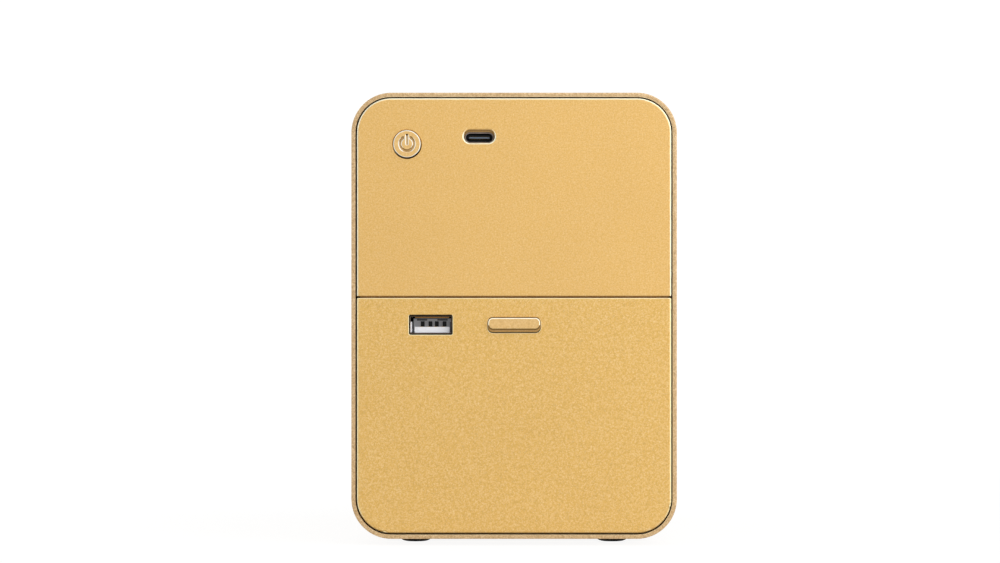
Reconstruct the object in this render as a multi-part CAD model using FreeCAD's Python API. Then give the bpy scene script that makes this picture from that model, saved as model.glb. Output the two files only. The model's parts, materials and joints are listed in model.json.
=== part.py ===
"""A desktop nail printer: a rounded sleeve that holds a small inkjet print engine.

Row frame, in millimetres: +Z up, the origin on the floor under the middle of the body.
The finger port faces -Y, the covers with the power button and the sockets face +Y, and +X is
on the right of someone who looks into the port.

The sleeve is closed in front by a fascia, and behind by a fixed upper cover and a lower door.
A tray, two bulkheads and a deck make the frame inside it. The print head crosses the nail
along X on a gantry, and the gantry travels along Y from its park over the capping station.
"""

import FreeCAD
import Part
import math
import os

from FreeCAD import Vector

# ---------------------------------------------------------------- driving dimensions

BODY_WIDTH = 100.0
BODY_DEPTH = 160.0
BODY_HEIGHT = 139.0
FOOT_HEIGHT = 1.95
FOOT_RADIUS = 5.3
FOOT_FLAT_RADIUS = 2.6      # what a domed foot stands on
FOOT_SKIRT = 1.3            # the height where a foot is widest
FOOT_SPACING_X = 61.2
FOOT_SPACING_Y = 114.0
CORNER_RADIUS = 12.3

SLEEVE_WALL = 1.4
SLEEVE_END = 78.2           # half the sleeve's length
SLEEVE_RIM = 0.25
PANEL_GAP = 0.35            # between the sleeve's inside and a panel's edge
PANEL_FACE = 78.8           # how far a panel's outer face is from the middle
PANEL_THICKNESS = 2.2
PANEL_EDGE_ROUND = 0.65
SEAM_HEIGHT = 76.2          # the line between the rear cover and the rear door
SEAM_WIDTH = 0.5
SEAM_EDGE_ROUND = 0.4
SKIRT_INSET = 0.2           # the wall behind a panel's rim stands this far in from it
SKIRT_WALL = 1.4
SKIRT_DEPTH = 6.6
BOSS_RADIUS = 3.0
BOSS_BORE = 10.0            # how deep the screw holes of the covers go
RAIL_Z = (1.6, 3.2)         # the upper cover's stiffening rail, above its lower edge
RAIL_HALF_WIDTH, RAIL_Y = 44.0, 71.0

POWER_BUTTON_X, POWER_BUTTON_Z = 32.9, 123.2
POWER_HOLE_RADIUS = 4.35
POWER_HOLE_ROUND = 0.25     # the softened edge of the hole in the cover
POWER_CAP_RADIUS = 4.2
POWER_CAP_PROUD = 0.6
SYMBOL_DEPTH = 0.45
SYMBOL_SLOPE = 0.22         # how much wider each side of the groove is at the face
PLUNGER_TIP, PLUNGER_RADIUS = 72.6, 1.0
USB_C_X, USB_C_Z = 10.7, 125.15
USB_C_SHELL = (8.94, 3.26)
USB_C_MOUTH = (8.34, 2.66)
USB_C_RECESS_Z = 125.55
USB_C_RECESS = (9.5, 4.0)
USB_C_LEDGE_Y = 77.4        # the recess narrows to the shell behind this
USB_A_X, USB_A_Z = 25.6, 67.7
USB_A_SHELL = (13.1, 5.7)
USB_A_WINDOW = (13.4, 6.1)
USB_A_INSERT_X = 25.25
LATCH_Z = 67.6
LATCH_SIZE = (16.1, 4.5)    # the button's foot, at the door's face
LATCH_CORNER = 1.5
LATCH_FACE_Z = (66.3, 69.8)
LATCH_FACE_WIDTH = 15.9
LATCH_FLANGE = 19.6         # how wide its flange is, behind the door
LATCH_CLEARANCE = 0.12
LATCH_PIVOT_Y, LATCH_PIVOT_Z = 71.6, 63.2
LATCH_PIN_RADIUS = 0.8
LATCH_EAR_X = (7.6, 9.2)

HINGE_Y, HINGE_Z = 75.9, 15.4
HINGE_ARM_X = (36.0, 40.0)
HINGE_EYE_RADIUS = 1.7
HINGE_PIN_RADIUS = 0.9
KNUCKLE_LENGTH = 3.0
KNUCKLE_GAP = 0.2
KNUCKLE_RADIUS = 2.2

BULKHEAD_Y = (60.5, 62.5)   # the front bulkhead is the mirror image
BULKHEAD_TAB = 8.0          # how far its feet and the deck's tabs stand in from it
TRAY_TOP = 5.6
DECK_Z = (100.0, 102.0)
MAIN_BOARD_Z = (106.0, 107.6)
MAIN_BOARD_Y = (-7.6, 56.0)
IO_BOARD_Y = (66.4, 68.0)
CHIP_X, CHIP_Y = -8.0, 20.0
STATUS_Z = 58.0
STATUS_SIZE = (12.0, 2.4)

PORT_HALF_WIDTH = 25.5
PORT_Z = (11.2, 44.0)
PORT_LOW_ROUND, PORT_HIGH_ROUND = 7.0, 14.0
COLLAR, COLLAR_FLOOR = 2.4, 2.2     # the bezel's wall beside the port, and below it
COLLAR_CLEAR = 0.1
WELL_START = -76.4
WELL_WALL = 1.6
WELL_LIP_Z = 31.0           # the top of the open tray behind the port's tunnel
WELL_TUNNEL_END = -53.0
WELL_END = -17.0
REST_TOP = 19.5
REST_GROOVE_Z, REST_GROOVE_RADIUS = 28.6, 13.0
REST_PAD_Y = (-54.0, -20.0)
PAD_THICKNESS = 1.4
PAD_CLEARANCE = 0.01

ROD_RADIUS = 2.0
BUSH_CLEARANCE = 0.03
BUSH_LENGTH = 8.0
Y_ROD_X, Y_ROD_Z = 41.0, 22.0
Y_BUSH_RADIUS = 3.6
SCREW_X, SCREW_Z = -39.5, 36.0
THREAD_LENGTH = 112.0
JOURNAL_RADIUS = 1.6
JOURNAL_Y = (-64.0, 62.0)
NUT_RADIUS, NUT_LENGTH = 3.4, 14.0
GANTRY_Y = 34.0             # the gantry's middle when it is parked
GANTRY_LENGTH = 28.0
UPRIGHT_X = (36.4, 38.9)
BEAM_Z = (83.5, 86.0)
X_ROD_OFFSET = 9.0
X_ROD_Z = 79.0
X_BUSH_RADIUS, X_BUSH_LENGTH = 3.2, 10.0
X_BUSH_X = 12.0
PULLEY_X = 29.0
PULLEY_RADIUS = 3.2
BELT_Z = (79.0, 82.0)
BELT_THICKNESS = 0.8
BELT_CLEARANCE = 0.06

CARRIAGE_X = 19.4
CARRIAGE_Y = (9.0, 57.5)
CARRIAGE_Z = (34.0, 75.2)
CARTRIDGE_Y = (11.0, 57.0)
CARTRIDGE_Z = (35.6, 73.2)
CARTRIDGE_HALF_WIDTH = 17.0
CARTRIDGE_LID_Z = 69.0
NOZZLE_Y, NOZZLE_Z = 18.0, 32.4
NOZZLE_PLATE = (16.0, 8.0, 0.2)
CLAMP_Y, CLAMP_Z = 53.5, 77.2
CLAMP_PIN = 1.0

WELL_FLOOR = 8.0            # of the well that the sled works in
STATION_SLED_Z = (18.0, 29.4)
SLED_WIDTH, SLED_Y = 26.0, (10.8, 25.2)
SEAL_TOP = 32.1
WIPER_X, WIPER_Y = (-10.0, 10.0), (4.6, 5.8)
WIPER_ROOT = 20.0

CAMERA_Y = -30.0
LAMP_RING_Z = 98.5
LAMP_CIRCLE = 11.4
LAMP_COUNT = 8

SCREW_SHANK = 1.1
SCREW_HEAD = 2.1
SCREW_HEAD_HEIGHT = 1.5
CASING_SCREW, DECK_SCREW, BOARD_SCREW = 11.0, 4.2, 5.0
CHASSIS_SHANK = 1.2
CHASSIS_HEAD = 2.4
CHASSIS_HOLE = 1.35
HOLE_CLEARANCE = 0.1
BEYOND = 1.0                # how far a cutting shape runs past what it cuts
TINY = 1e-3                 # what counts as the same place

# ---------------------------------------------------------------- values that follow

SLEEVE_Z = (FOOT_HEIGHT, BODY_HEIGHT)
INSIDE_X = BODY_WIDTH / 2 - SLEEVE_WALL
INSIDE_Z = (FOOT_HEIGHT + SLEEVE_WALL, BODY_HEIGHT - SLEEVE_WALL)
TRAY_Z = (INSIDE_Z[0], TRAY_TOP)
PANEL_X = INSIDE_X - PANEL_GAP
PANEL_Z = (INSIDE_Z[0] + PANEL_GAP, INSIDE_Z[1] - PANEL_GAP)
PANEL_CORNER = CORNER_RADIUS - SLEEVE_WALL - PANEL_GAP
PANEL_INSIDE = PANEL_FACE - PANEL_THICKNESS
COVER_BOTTOM = SEAM_HEIGHT + SEAM_WIDTH / 2
DOOR_TOP = SEAM_HEIGHT - SEAM_WIDTH / 2
LIMIT_Y = BODY_DEPTH / 2    # nothing stands further out than this
USB_A_FLOOR = USB_A_Z - USB_A_SHELL[1] / 2
SCREW_CLEAR = SCREW_SHANK + HOLE_CLEARANCE
PIVOT = (LATCH_PIVOT_Y, LATCH_PIVOT_Z)
BELT_INNER = PULLEY_RADIUS + BELT_CLEARANCE
ROD_SIDES = (-Y_ROD_X, Y_ROD_X)
X_ROD_LINES = (GANTRY_Y - X_ROD_OFFSET, GANTRY_Y + X_ROD_OFFSET)
FOOT_X, FOOT_Y = FOOT_SPACING_X / 2, FOOT_SPACING_Y / 2
FOOT_SPOTS = [(x, y) for x in (-FOOT_X, FOOT_X) for y in (-FOOT_Y, FOOT_Y)]
COVER_BOSSES = [(-41.0, 86.0), (41.0, 86.0), (-41.0, 128.0), (43.0, 128.5)]
FASCIA_BOSSES = [(x, z) for x in (-41.0, 41.0) for z in (58.0, 126.0)]
DECK_SCREW_X, DECK_SCREW_Y = 40.0, 56.5
DECK_SCREWS = [(x, y) for x in (-DECK_SCREW_X, DECK_SCREW_X) for y in (-DECK_SCREW_Y, DECK_SCREW_Y)]
BOARD_SCREWS = [(x, y) for x in (-34.5, 34.5) for y in (-4.0, 52.0)]
IO_SCREWS = [(2.0, 115.0), (22.0, 130.0)]
CAPACITORS = [(-30.0, 14.0), (-30.0, 24.0), (-22.0, 36.0)]

X_AXIS, Y_AXIS, Z_AXIS = Vector(1, 0, 0), Vector(0, 1, 0), Vector(0, 0, 1)


# ---------------------------------------------------------------- shape helpers

def span(middle, size):
    """The two ends of a length that is centred on middle."""
    return (middle - size / 2, middle + size / 2)


def past(ends):
    """A span that runs a little past both ends of another."""
    return (ends[0] - BEYOND, ends[1] + BEYOND)


def raised(base, ends):
    """A span that is given from a base."""
    return (base + ends[0], base + ends[1])


def box(x, y, z):
    """A box between the two ends that each axis gives."""
    return Part.makeBox(x[1] - x[0], y[1] - y[0], z[1] - z[0], Vector(x[0], y[0], z[0]))


def edges_along(shape, axis):
    """The straight edges of a shape that run along an axis."""
    found = []
    for edge in shape.Edges:
        run = edge.Vertexes[-1].Point - edge.Vertexes[0].Point
        if run.Length > TINY and abs(run.normalize().dot(axis)) > 1 - TINY:
            found.append(edge)
    return found


def edges_at_y(shape, y):
    """The edges of a shape that lie in the plane at y."""
    return [e for e in shape.Edges
            if abs(e.BoundBox.YMin - y) < TINY and abs(e.BoundBox.YMax - y) < TINY]


def rounded_box(x, y, z, radius, axis=Y_AXIS):
    """A box whose four edges along one axis are rounded."""
    block = box(x, y, z)
    return block.makeFillet(radius, edges_along(block, axis))


def port_box(half_width, y, z, low_round, high_round):
    """A box along Y with one radius at its two low edges and another at its two high ones."""
    block = box((-half_width, half_width), y, z)
    middle = (z[0] + z[1]) / 2
    low = [e for e in edges_along(block, Y_AXIS) if e.CenterOfMass.z < middle]
    block = block.makeFillet(low_round, low)
    high = [e for e in edges_along(block, Y_AXIS) if e.CenterOfMass.z > middle + high_round]
    return block.makeFillet(high_round, high)


def grown_port(y, margin, floor_margin):
    """The port's outline, grown by one margin above and beside it and by another below."""
    low, high = PORT_Z
    return port_box(PORT_HALF_WIDTH + margin, y, (low - floor_margin, high + margin),
                    PORT_LOW_ROUND + floor_margin, PORT_HIGH_ROUND + margin)


def stadium(x, z, size, y):
    """A slot shape with round ends, through y, centred on x and z."""
    return rounded_box(span(x, size[0]), y, span(z, size[1]), size[1] / 2 - 2 * TINY)


def rod(start, axis, radius, length):
    """A cylinder that starts at a point and runs along an axis."""
    return Part.makeCylinder(radius, length, Vector(*start), axis)


def x_rod(ends, y, z, radius):
    """A cylinder along X between two ends."""
    return rod((ends[0], y, z), X_AXIS, radius, ends[1] - ends[0])


def y_rod(x, ends, z, radius):
    """A cylinder along Y between two ends."""
    return rod((x, ends[0], z), Y_AXIS, radius, ends[1] - ends[0])


def z_rod(x, y, ends, radius):
    """A cylinder along Z between two ends."""
    return rod((x, y, ends[0]), Z_AXIS, radius, ends[1] - ends[0])


def join(first, *others):
    """One solid from several that touch."""
    return first.fuse(list(others)).removeSplitter()


def less(shape, *cutters):
    """A shape with several others cut from it."""
    for cutter in cutters:
        shape = shape.cut(cutter)
    return shape


def group(solids):
    """Several separate solids in one node."""
    return Part.makeCompound(solids)


def mirror_x(shape):
    """The same shape on the other side of the plane X = 0."""
    return shape.mirror(Vector(0, 0, 0), X_AXIS)


def mirror_y(shape):
    """The same shape on the other side of the plane Y = 0."""
    return shape.mirror(Vector(0, 0, 0), Y_AXIS)


def prism(points, x):
    """A profile of (y, z) points, extruded between two values of X."""
    ring = [Vector(x[0], y, z) for y, z in points]
    return Part.Face(Part.makePolygon(ring + ring[:1])).extrude(Vector(x[1] - x[0], 0, 0))


def outline(width, z, y, radius):
    """A rounded rectangle that faces Y, as a closed wire."""
    block = rounded_box(span(0, width), (y, y + BEYOND), z, radius)
    face = [f for f in block.Faces if f.BoundBox.YMax < y + TINY]
    return face[0].OuterWire


def pan_screw(head_at, axis, length):
    """A pan-head screw: the head stands behind head_at and the shank runs along the axis."""
    dome, recess = 0.5, 1.0
    shank = rod(head_at, axis, SCREW_SHANK, length)
    head = rod(head_at, -axis, SCREW_HEAD, SCREW_HEAD_HEIGHT)
    crown = Vector(*head_at) - axis * SCREW_HEAD_HEIGHT
    rim = [e for e in head.Edges if len(e.Vertexes) == 1 and (e.CenterOfMass - crown).Length < TINY]
    return join(head.makeFillet(dome, rim), shank).cut(Part.makeSphere(recess, crown))


def coil(start, axis, radius, wire, pitch, turns):
    """A coil spring of round wire, with its first turn at start."""
    helix = Part.makeHelix(pitch, pitch * turns, radius)
    section = Part.Wire(Part.makeCircle(wire, Vector(radius, 0, 0), Y_AXIS))
    spring = Part.Wire(helix).makePipeShell([section], True, True)
    spring.Placement = FreeCAD.Placement(Vector(*start), FreeCAD.Rotation(Z_AXIS, axis))
    return spring


def strip(corners, radius, x, thickness):
    """A flat cable: a strip that follows (y, z) corners, with every bend at one radius."""
    points = [Vector(0, y, z) for y, z in corners]
    edges = []
    start = points[0]
    for before, corner, after in zip(points, points[1:], points[2:]):
        inward = (before - corner).normalize()
        onward = (after - corner).normalize()
        turn_in, turn_out = corner + inward * radius, corner + onward * radius
        centre = turn_in + onward * radius
        crown = centre + (corner - centre).normalize() * radius
        edges.append(Part.makeLine(start, turn_in))
        edges.append(Part.Arc(turn_in, crown, turn_out).toShape())
        start = turn_out
    edges.append(Part.makeLine(start, points[-1]))
    first = points[0]
    run = (points[1] - first).normalize()
    across = Vector(0, -run.z, run.y) * (thickness / 2)
    near, far = first + across, first - across
    ring = [near + X_AXIS * x[0], far + X_AXIS * x[0], far + X_AXIS * x[1], near + X_AXIS * x[1]]
    section = Part.makePolygon(ring + ring[:1])
    return Part.Wire(edges).makePipeShell([section], True, False)


# ---------------------------------------------------------------- the casing

def outer_sleeve():
    """The rounded tube that is the whole outside, screwed to the tray from below."""
    sink = 1.05
    half = BODY_WIDTH / 2
    ends = (-SLEEVE_END, SLEEVE_END)
    tube = rounded_box((-half, half), ends, SLEEVE_Z, CORNER_RADIUS)
    tube = tube.cut(rounded_box((-INSIDE_X, INSIDE_X), past(ends), INSIDE_Z,
                                CORNER_RADIUS - SLEEVE_WALL))
    tube = tube.makeChamfer(SLEEVE_RIM, edges_at_y(tube, ends[0]) + edges_at_y(tube, ends[1]))
    for x, y in FOOT_SPOTS:
        seat = Part.makeCone(CHASSIS_HEAD, CHASSIS_HOLE, sink, Vector(x, y, FOOT_HEIGHT), Z_AXIS)
        tube = less(tube, z_rod(x, y, (0, TRAY_TOP), CHASSIS_HOLE), seat)
    return tube


def panel_blank():
    """The full rear panel with its rim rounded, before it is parted at the seam."""
    blank = rounded_box((-PANEL_X, PANEL_X), (PANEL_INSIDE, PANEL_FACE), PANEL_Z, PANEL_CORNER)
    return blank.makeFillet(PANEL_EDGE_ROUND, edges_at_y(blank, PANEL_FACE))


def seam_space(z, seam):
    """The space on one side of the seam, between two heights, with its outer edge rounded."""
    half = PANEL_X + BEYOND
    space = box((-half, half), (0, PANEL_FACE), z)
    edge = [e for e in edges_along(space, X_AXIS)
            if (e.CenterOfMass - Vector(0, PANEL_FACE, seam)).Length < TINY]
    return space.makeFillet(SEAM_EDGE_ROUND, edge)


def skirt():
    """The thin wall that stands behind a panel's rim, inside the sleeve."""
    x, z = PANEL_X - SKIRT_INSET, (PANEL_Z[0] + SKIRT_INSET, PANEL_Z[1] - SKIRT_INSET)
    y = (PANEL_INSIDE - SKIRT_DEPTH, PANEL_INSIDE)
    corner = PANEL_CORNER - SKIRT_INSET
    room = x - SKIRT_WALL
    inside = rounded_box((-room, room), past(y), (z[0] + SKIRT_WALL, z[1] - SKIRT_WALL),
                         corner - SKIRT_WALL)
    return rounded_box((-x, x), y, z, corner).cut(inside)


def bosses(spots):
    """The screw bosses behind a rear panel."""
    return [y_rod(x, (BULKHEAD_Y[1], PANEL_INSIDE), z, BOSS_RADIUS) for x, z in spots]


def boss_bores(spots):
    """The screw holes in those bosses."""
    depth = (BULKHEAD_Y[1], BULKHEAD_Y[1] + BOSS_BORE)
    return [y_rod(x, depth, z, SCREW_SHANK) for x, z in spots]


def rear_upper_cover():
    """The fixed cover with the power button's hole and the power socket's recess."""
    mouth_round, fit = 0.6, 0.2
    space = seam_space((COVER_BOTTOM, BODY_HEIGHT), COVER_BOTTOM)
    rail = box((-RAIL_HALF_WIDTH, RAIL_HALF_WIDTH), (RAIL_Y, PANEL_INSIDE),
               raised(COVER_BOTTOM, RAIL_Z))
    cover = join(panel_blank().common(space), skirt().common(space), rail, *bosses(COVER_BOSSES))
    button = y_rod(POWER_BUTTON_X, (RAIL_Y, LIMIT_Y), POWER_BUTTON_Z, POWER_HOLE_RADIUS)
    recess = stadium(USB_C_X, USB_C_RECESS_Z, USB_C_RECESS, (USB_C_LEDGE_Y, LIMIT_Y))
    passage = stadium(USB_C_X, USB_C_Z, [side + fit for side in USB_C_SHELL],
                      (RAIL_Y, USB_C_LEDGE_Y))
    cover = less(cover, button, recess, passage, *boss_bores(COVER_BOSSES))
    hole = [e for e in edges_at_y(cover, PANEL_FACE)
            if abs(e.CenterOfMass.x - POWER_BUTTON_X) < TINY
            and abs(e.CenterOfMass.z - POWER_BUTTON_Z) < TINY]
    cover = cover.makeFillet(POWER_HOLE_ROUND, hole)
    half = USB_C_RECESS[0] / 2 + TINY
    mouth = [e for e in edges_at_y(cover, PANEL_FACE) if abs(e.CenterOfMass.x - USB_C_X) < half
             and abs(e.CenterOfMass.z - USB_C_RECESS_Z) < half]
    return cover.makeFillet(mouth_round, mouth)


def rear_door():
    """The lower door: window, latch slot, hinge knuckles, stiffening ribs and latch ears."""
    clear, eye_play, window_corner = 2 * LATCH_CLEARANCE, 0.25, 0.5
    ear_start, ear_height = 69.6, 4.2
    room_start, room_z = 73.0, (63.8, 72.6)
    ear = box(LATCH_EAR_X, (ear_start, PANEL_INSIDE), span(LATCH_PIVOT_Z, ear_height))
    ears = [ear, mirror_x(ear)]
    knuckles = hinge_knuckles()
    knuckles += [mirror_x(knuckle) for knuckle in knuckles]
    door = panel_blank().common(seam_space((0, DOOR_TOP), DOOR_TOP))
    door = join(door, *door_ribs(), *ears, *knuckles)
    pocket = x_rod((HINGE_ARM_X[0] - KNUCKLE_GAP, HINGE_ARM_X[1] + KNUCKLE_GAP),
                   HINGE_Y, HINGE_Z, HINGE_EYE_RADIUS + eye_play)
    pin = x_rod(past(knuckle_span()), HINGE_Y, HINGE_Z, HINGE_PIN_RADIUS)
    pivot = x_rod(past((-LATCH_EAR_X[1], LATCH_EAR_X[1])), *PIVOT, LATCH_PIN_RADIUS)
    slot = rounded_box(span(0, LATCH_SIZE[0] + clear), (RAIL_Y, LIMIT_Y),
                       span(LATCH_Z, LATCH_SIZE[1] + clear), LATCH_CORNER + LATCH_CLEARANCE)
    flange_room = less(box(span(0, LATCH_FLANGE + 0.8), (room_start, PANEL_INSIDE), room_z), *ears)
    window = rounded_box(span(USB_A_X, USB_A_WINDOW[0]), (RAIL_Y, LIMIT_Y),
                         span(USB_A_Z, USB_A_WINDOW[1]), window_corner)
    return less(door, pocket, mirror_x(pocket), pin, mirror_x(pin), pivot, slot, flange_room, window)


def door_ribs():
    """The ribs that stiffen the door from behind: two across it and four up it."""
    rib, depth = 1.2, 1.8
    low, middle, top = 20.0, 56.0, 72.0
    y = (PANEL_INSIDE - depth, PANEL_INSIDE)
    across = [box((-RAIL_HALF_WIDTH, RAIL_HALF_WIDTH), y, (z, z + rib)) for z in (low, middle)]
    upright = [box(span(x, rib), y, (low, top)) for x in (-30.0, -12.0, 12.0, 35.0)]
    return across + upright


def knuckle_span():
    """From the inner end of one hinge's inner knuckle to the outer end of its outer one."""
    reach = KNUCKLE_GAP + KNUCKLE_LENGTH
    return (HINGE_ARM_X[0] - reach, HINGE_ARM_X[1] + reach)


def hinge_knuckles():
    """The two knuckles of one hinge, either side of the bulkhead's arm."""
    ends, bite = knuckle_span(), 0.5
    height = (HINGE_Z - KNUCKLE_RADIUS, HINGE_Z + KNUCKLE_RADIUS)
    root = (HINGE_Y, PANEL_INSIDE + bite)
    solids = []
    for x in ((ends[0], ends[0] + KNUCKLE_LENGTH), (ends[1] - KNUCKLE_LENGTH, ends[1])):
        solids += [x_rod(x, HINGE_Y, HINGE_Z, KNUCKLE_RADIUS), box(x, root, height)]
    return solids


def door_hinge_pins():
    """The two steel pins that the door swings on, pressed into its knuckles."""
    pin = x_rod(knuckle_span(), HINGE_Y, HINGE_Z, HINGE_PIN_RADIUS)
    return group([pin, mirror_x(pin)])


def latch_button():
    """The oblong release: a flat face, a sloping underside, and a flange behind the door."""
    shaft, flange_y, flange_z = 1.0, (-1.7, -0.3), (65.6, 71.8)
    stem_width, stem_gap, stem_z = 6.0, 1.5, (67.6, 69.0)
    foot_z = span(LATCH_Z, LATCH_SIZE[1])
    foot = outline(LATCH_SIZE[0], foot_z, PANEL_FACE, LATCH_CORNER)
    face = outline(LATCH_FACE_WIDTH, LATCH_FACE_Z, LIMIT_Y, LATCH_CORNER - 0.05)
    nose = Part.makeLoft([foot, face], True, True)
    root = rounded_box(span(0, LATCH_SIZE[0]), (PANEL_INSIDE - shaft, PANEL_FACE), foot_z, LATCH_CORNER)
    flange = box(span(0, LATCH_FLANGE), raised(PANEL_INSIDE, flange_y), flange_z)
    stem = box(span(0, stem_width), (LATCH_PIVOT_Y + stem_gap, PANEL_INSIDE + flange_y[1]), stem_z)
    return join(nose, root, flange, stem)


def latch_lever():
    """The bell-crank that the release button tips, with its nose behind the keeper."""
    half_width, hub_radius, pin_play = 5.0, 1.9, 0.05
    profile = [(70.6, 63.2), (72.9, 63.2), (72.9, 69.6), (68.6, 73.4), (67.7, 74.4),
               (67.7, 75.2), (66.8, 75.7), (65.9, 75.2), (65.9, 73.0), (70.6, 68.6)]
    width = (-half_width, half_width)
    lever = join(prism(profile, width), x_rod(width, *PIVOT, hub_radius))
    return lever.cut(x_rod(past(width), *PIVOT, LATCH_PIN_RADIUS + pin_play))


def latch_pivot_pin():
    """The pin through the door's ears that the lever tips on."""
    return x_rod((-LATCH_EAR_X[1], LATCH_EAR_X[1]), *PIVOT, LATCH_PIN_RADIUS)


def latch_spring():
    """The torsion spring between the lever and one ear, round the pivot pin."""
    start_x, radius, wire, pitch, turns = 5.55, 1.5, 0.22, 0.5, 3.2
    return coil((start_x, *PIVOT), X_AXIS, radius, wire, pitch, turns)


def latch_keeper():
    """The spring leaf under the upper cover's rail that the lever's nose catches on."""
    half_width, sheet, start, end, lip_bottom = 6.0, 0.4, 67.9, 76.2, 75.0
    width = (-half_width, half_width)
    top = COVER_BOTTOM + RAIL_Z[0]
    leaf = box(width, (start, end), (top - sheet, top))
    lip = box(width, (start, start + sheet), (lip_bottom, top))
    return join(leaf, lip)


def power_symbol(face):
    """The groove of the power symbol: a broken ring and a bar, with sloping sides."""
    x, z = POWER_BUTTON_X, POWER_BUTTON_Z
    ring, half_gap, half_line = 2.15, 23.0, 0.18
    bar_low, bar_high = 0.0, 2.55
    wide, floor, above = half_line + SYMBOL_SLOPE, face - SYMBOL_DEPTH, face + TINY
    section = [(ring - wide, above), (ring + wide, above), (ring + half_line, floor),
               (ring - half_line, floor)]
    points = [Vector(x + r, y, z) for r, y in section]
    arc = Part.Face(Part.makePolygon(points + points[:1]))
    arc.rotate(Vector(x, 0, z), Y_AXIS, half_gap - 90.0)
    arc = arc.revolve(Vector(x, 0, z), Y_AXIS, 360.0 - 2 * half_gap)
    rims = []
    for y, side in ((above, wide), (floor, half_line)):
        low, high = z + bar_low - side, z + bar_high + side
        corners = [Vector(x - side, y, low), Vector(x + side, y, low),
                   Vector(x + side, y, high), Vector(x - side, y, high)]
        rims.append(Part.makePolygon(corners + corners[:1]))
    return [arc, Part.makeLoft(rims, True, True)]


def power_button():
    """The round button with the power symbol sunk into its face."""
    face = PANEL_FACE + POWER_CAP_PROUD
    edge_round, flange_radius, stem_radius = 0.3, 5.3, 1.2
    flange_y = (74.9, PANEL_INSIDE - 0.3)
    x, z = POWER_BUTTON_X, POWER_BUTTON_Z
    cap = y_rod(x, (flange_y[0], face), z, POWER_CAP_RADIUS)
    cap = cap.makeFillet(edge_round, edges_at_y(cap, face))
    flange = y_rod(x, flange_y, z, flange_radius)
    stem = y_rod(x, (PLUNGER_TIP, flange_y[0]), z, stem_radius)
    return less(join(cap, flange, stem), *power_symbol(face))


def switch_plunger():
    """The push switch's own plunger, which the button's stem drives."""
    return y_rod(POWER_BUTTON_X, (70.2, PLUNGER_TIP), POWER_BUTTON_Z, PLUNGER_RADIUS)


def power_switch():
    """The push switch on the socket board, with the hole that its plunger works in."""
    side, front, hole_start, play = 6.0, 71.4, 69.4, 0.03
    body = box(span(POWER_BUTTON_X, side), (IO_BOARD_Y[1], front), span(POWER_BUTTON_Z, side))
    return body.cut(y_rod(POWER_BUTTON_X, (hole_start, LIMIT_Y), POWER_BUTTON_Z,
                          PLUNGER_RADIUS + play))


def front_fascia():
    """The front panel: the port, the light's slot, a skirt and four bosses."""
    slot_clear = 0.2
    panel = join(panel_blank(), skirt(), *bosses(FASCIA_BOSSES))
    panel = mirror_y(less(panel, *boss_bores(FASCIA_BOSSES)))
    through = (-LIMIT_Y, -BULKHEAD_Y[0])
    light = stadium(0, STATUS_Z, [side + slot_clear for side in STATUS_SIZE], through)
    return less(panel, grown_port(through, COLLAR + COLLAR_CLEAR, COLLAR_FLOOR + COLLAR_CLEAR), light)


def port_bezel():
    """The trim ring that lines the port and laps over the fascia."""
    lap_width, lap_round, front, back = 1.5, 0.7, 0.4, 0.1
    collar = grown_port((-PANEL_FACE - front, back - PANEL_INSIDE), COLLAR, COLLAR_FLOOR)
    lap = grown_port((-LIMIT_Y, -PANEL_FACE), COLLAR + lap_width, COLLAR_FLOOR + lap_width)
    ring = join(collar, lap.makeFillet(lap_round, edges_at_y(lap, -LIMIT_Y)))
    return ring.cut(grown_port(past((-LIMIT_Y, 0)), 0, 0))


def finger_well():
    """The liner behind the port: a short tunnel, then a tray that is open to the head."""
    wall = WELL_WALL
    flange_half, flange_thickness, flange_lap, flange_rounds = 31.0, 1.5, 4.4, (9.0, 17.0)
    leg_width, leg_depth, leg_bite = 5.0, 8.0, 0.4
    low, high = PORT_Z
    outside = grown_port((WELL_START, WELL_END), wall, wall)
    flange = port_box(flange_half, (WELL_START, WELL_START + flange_thickness),
                      (low - flange_lap, high + flange_lap), *flange_rounds)
    inside = grown_port((-LIMIT_Y, WELL_END - wall), 0, 0)
    open_top = box((-INSIDE_X, INSIDE_X), (WELL_TUNNEL_END, 0), (WELL_LIP_Z, high + 2 * wall))
    legs = [box(span(x, leg_width), span(y, leg_depth), (TRAY_TOP, low - wall + leg_bite))
            for x in (-14.0, 14.0) for y in (-58.0, -26.0)]
    return less(join(outside, flange, *legs), inside, open_top)


def finger_rest():
    """The saddle that the finger lies in, with a lead-in slope at the port."""
    half_width, ends, corner = 15.0, (-71.0, -19.2), 2.0
    slope_foot, slope_head = (ends[0] - 0.2, 12.6), (-56.0, 22.0)
    block = rounded_box((-half_width, half_width), ends, (PORT_Z[0], REST_TOP), corner, Z_AXIS)
    groove = y_rod(0, (-LIMIT_Y, 0), REST_GROOVE_Z, REST_GROOVE_RADIUS)
    slope = prism([slope_foot, slope_head, (-LIMIT_Y, slope_head[1]), (-LIMIT_Y, slope_foot[1])],
                  past((-half_width, half_width)))
    return less(block, groove, slope)


def finger_pad():
    """The soft pad in the saddle's groove, level with the saddle's top at its edges."""
    half_width = 9.5
    outer = y_rod(0, REST_PAD_Y, REST_GROOVE_Z, REST_GROOVE_RADIUS - PAD_CLEARANCE)
    inner = y_rod(0, past(REST_PAD_Y), REST_GROOVE_Z, REST_GROOVE_RADIUS - PAD_THICKNESS)
    return outer.cut(inner).common(box((-half_width, half_width), REST_PAD_Y, (PORT_Z[0], REST_TOP)))


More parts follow.
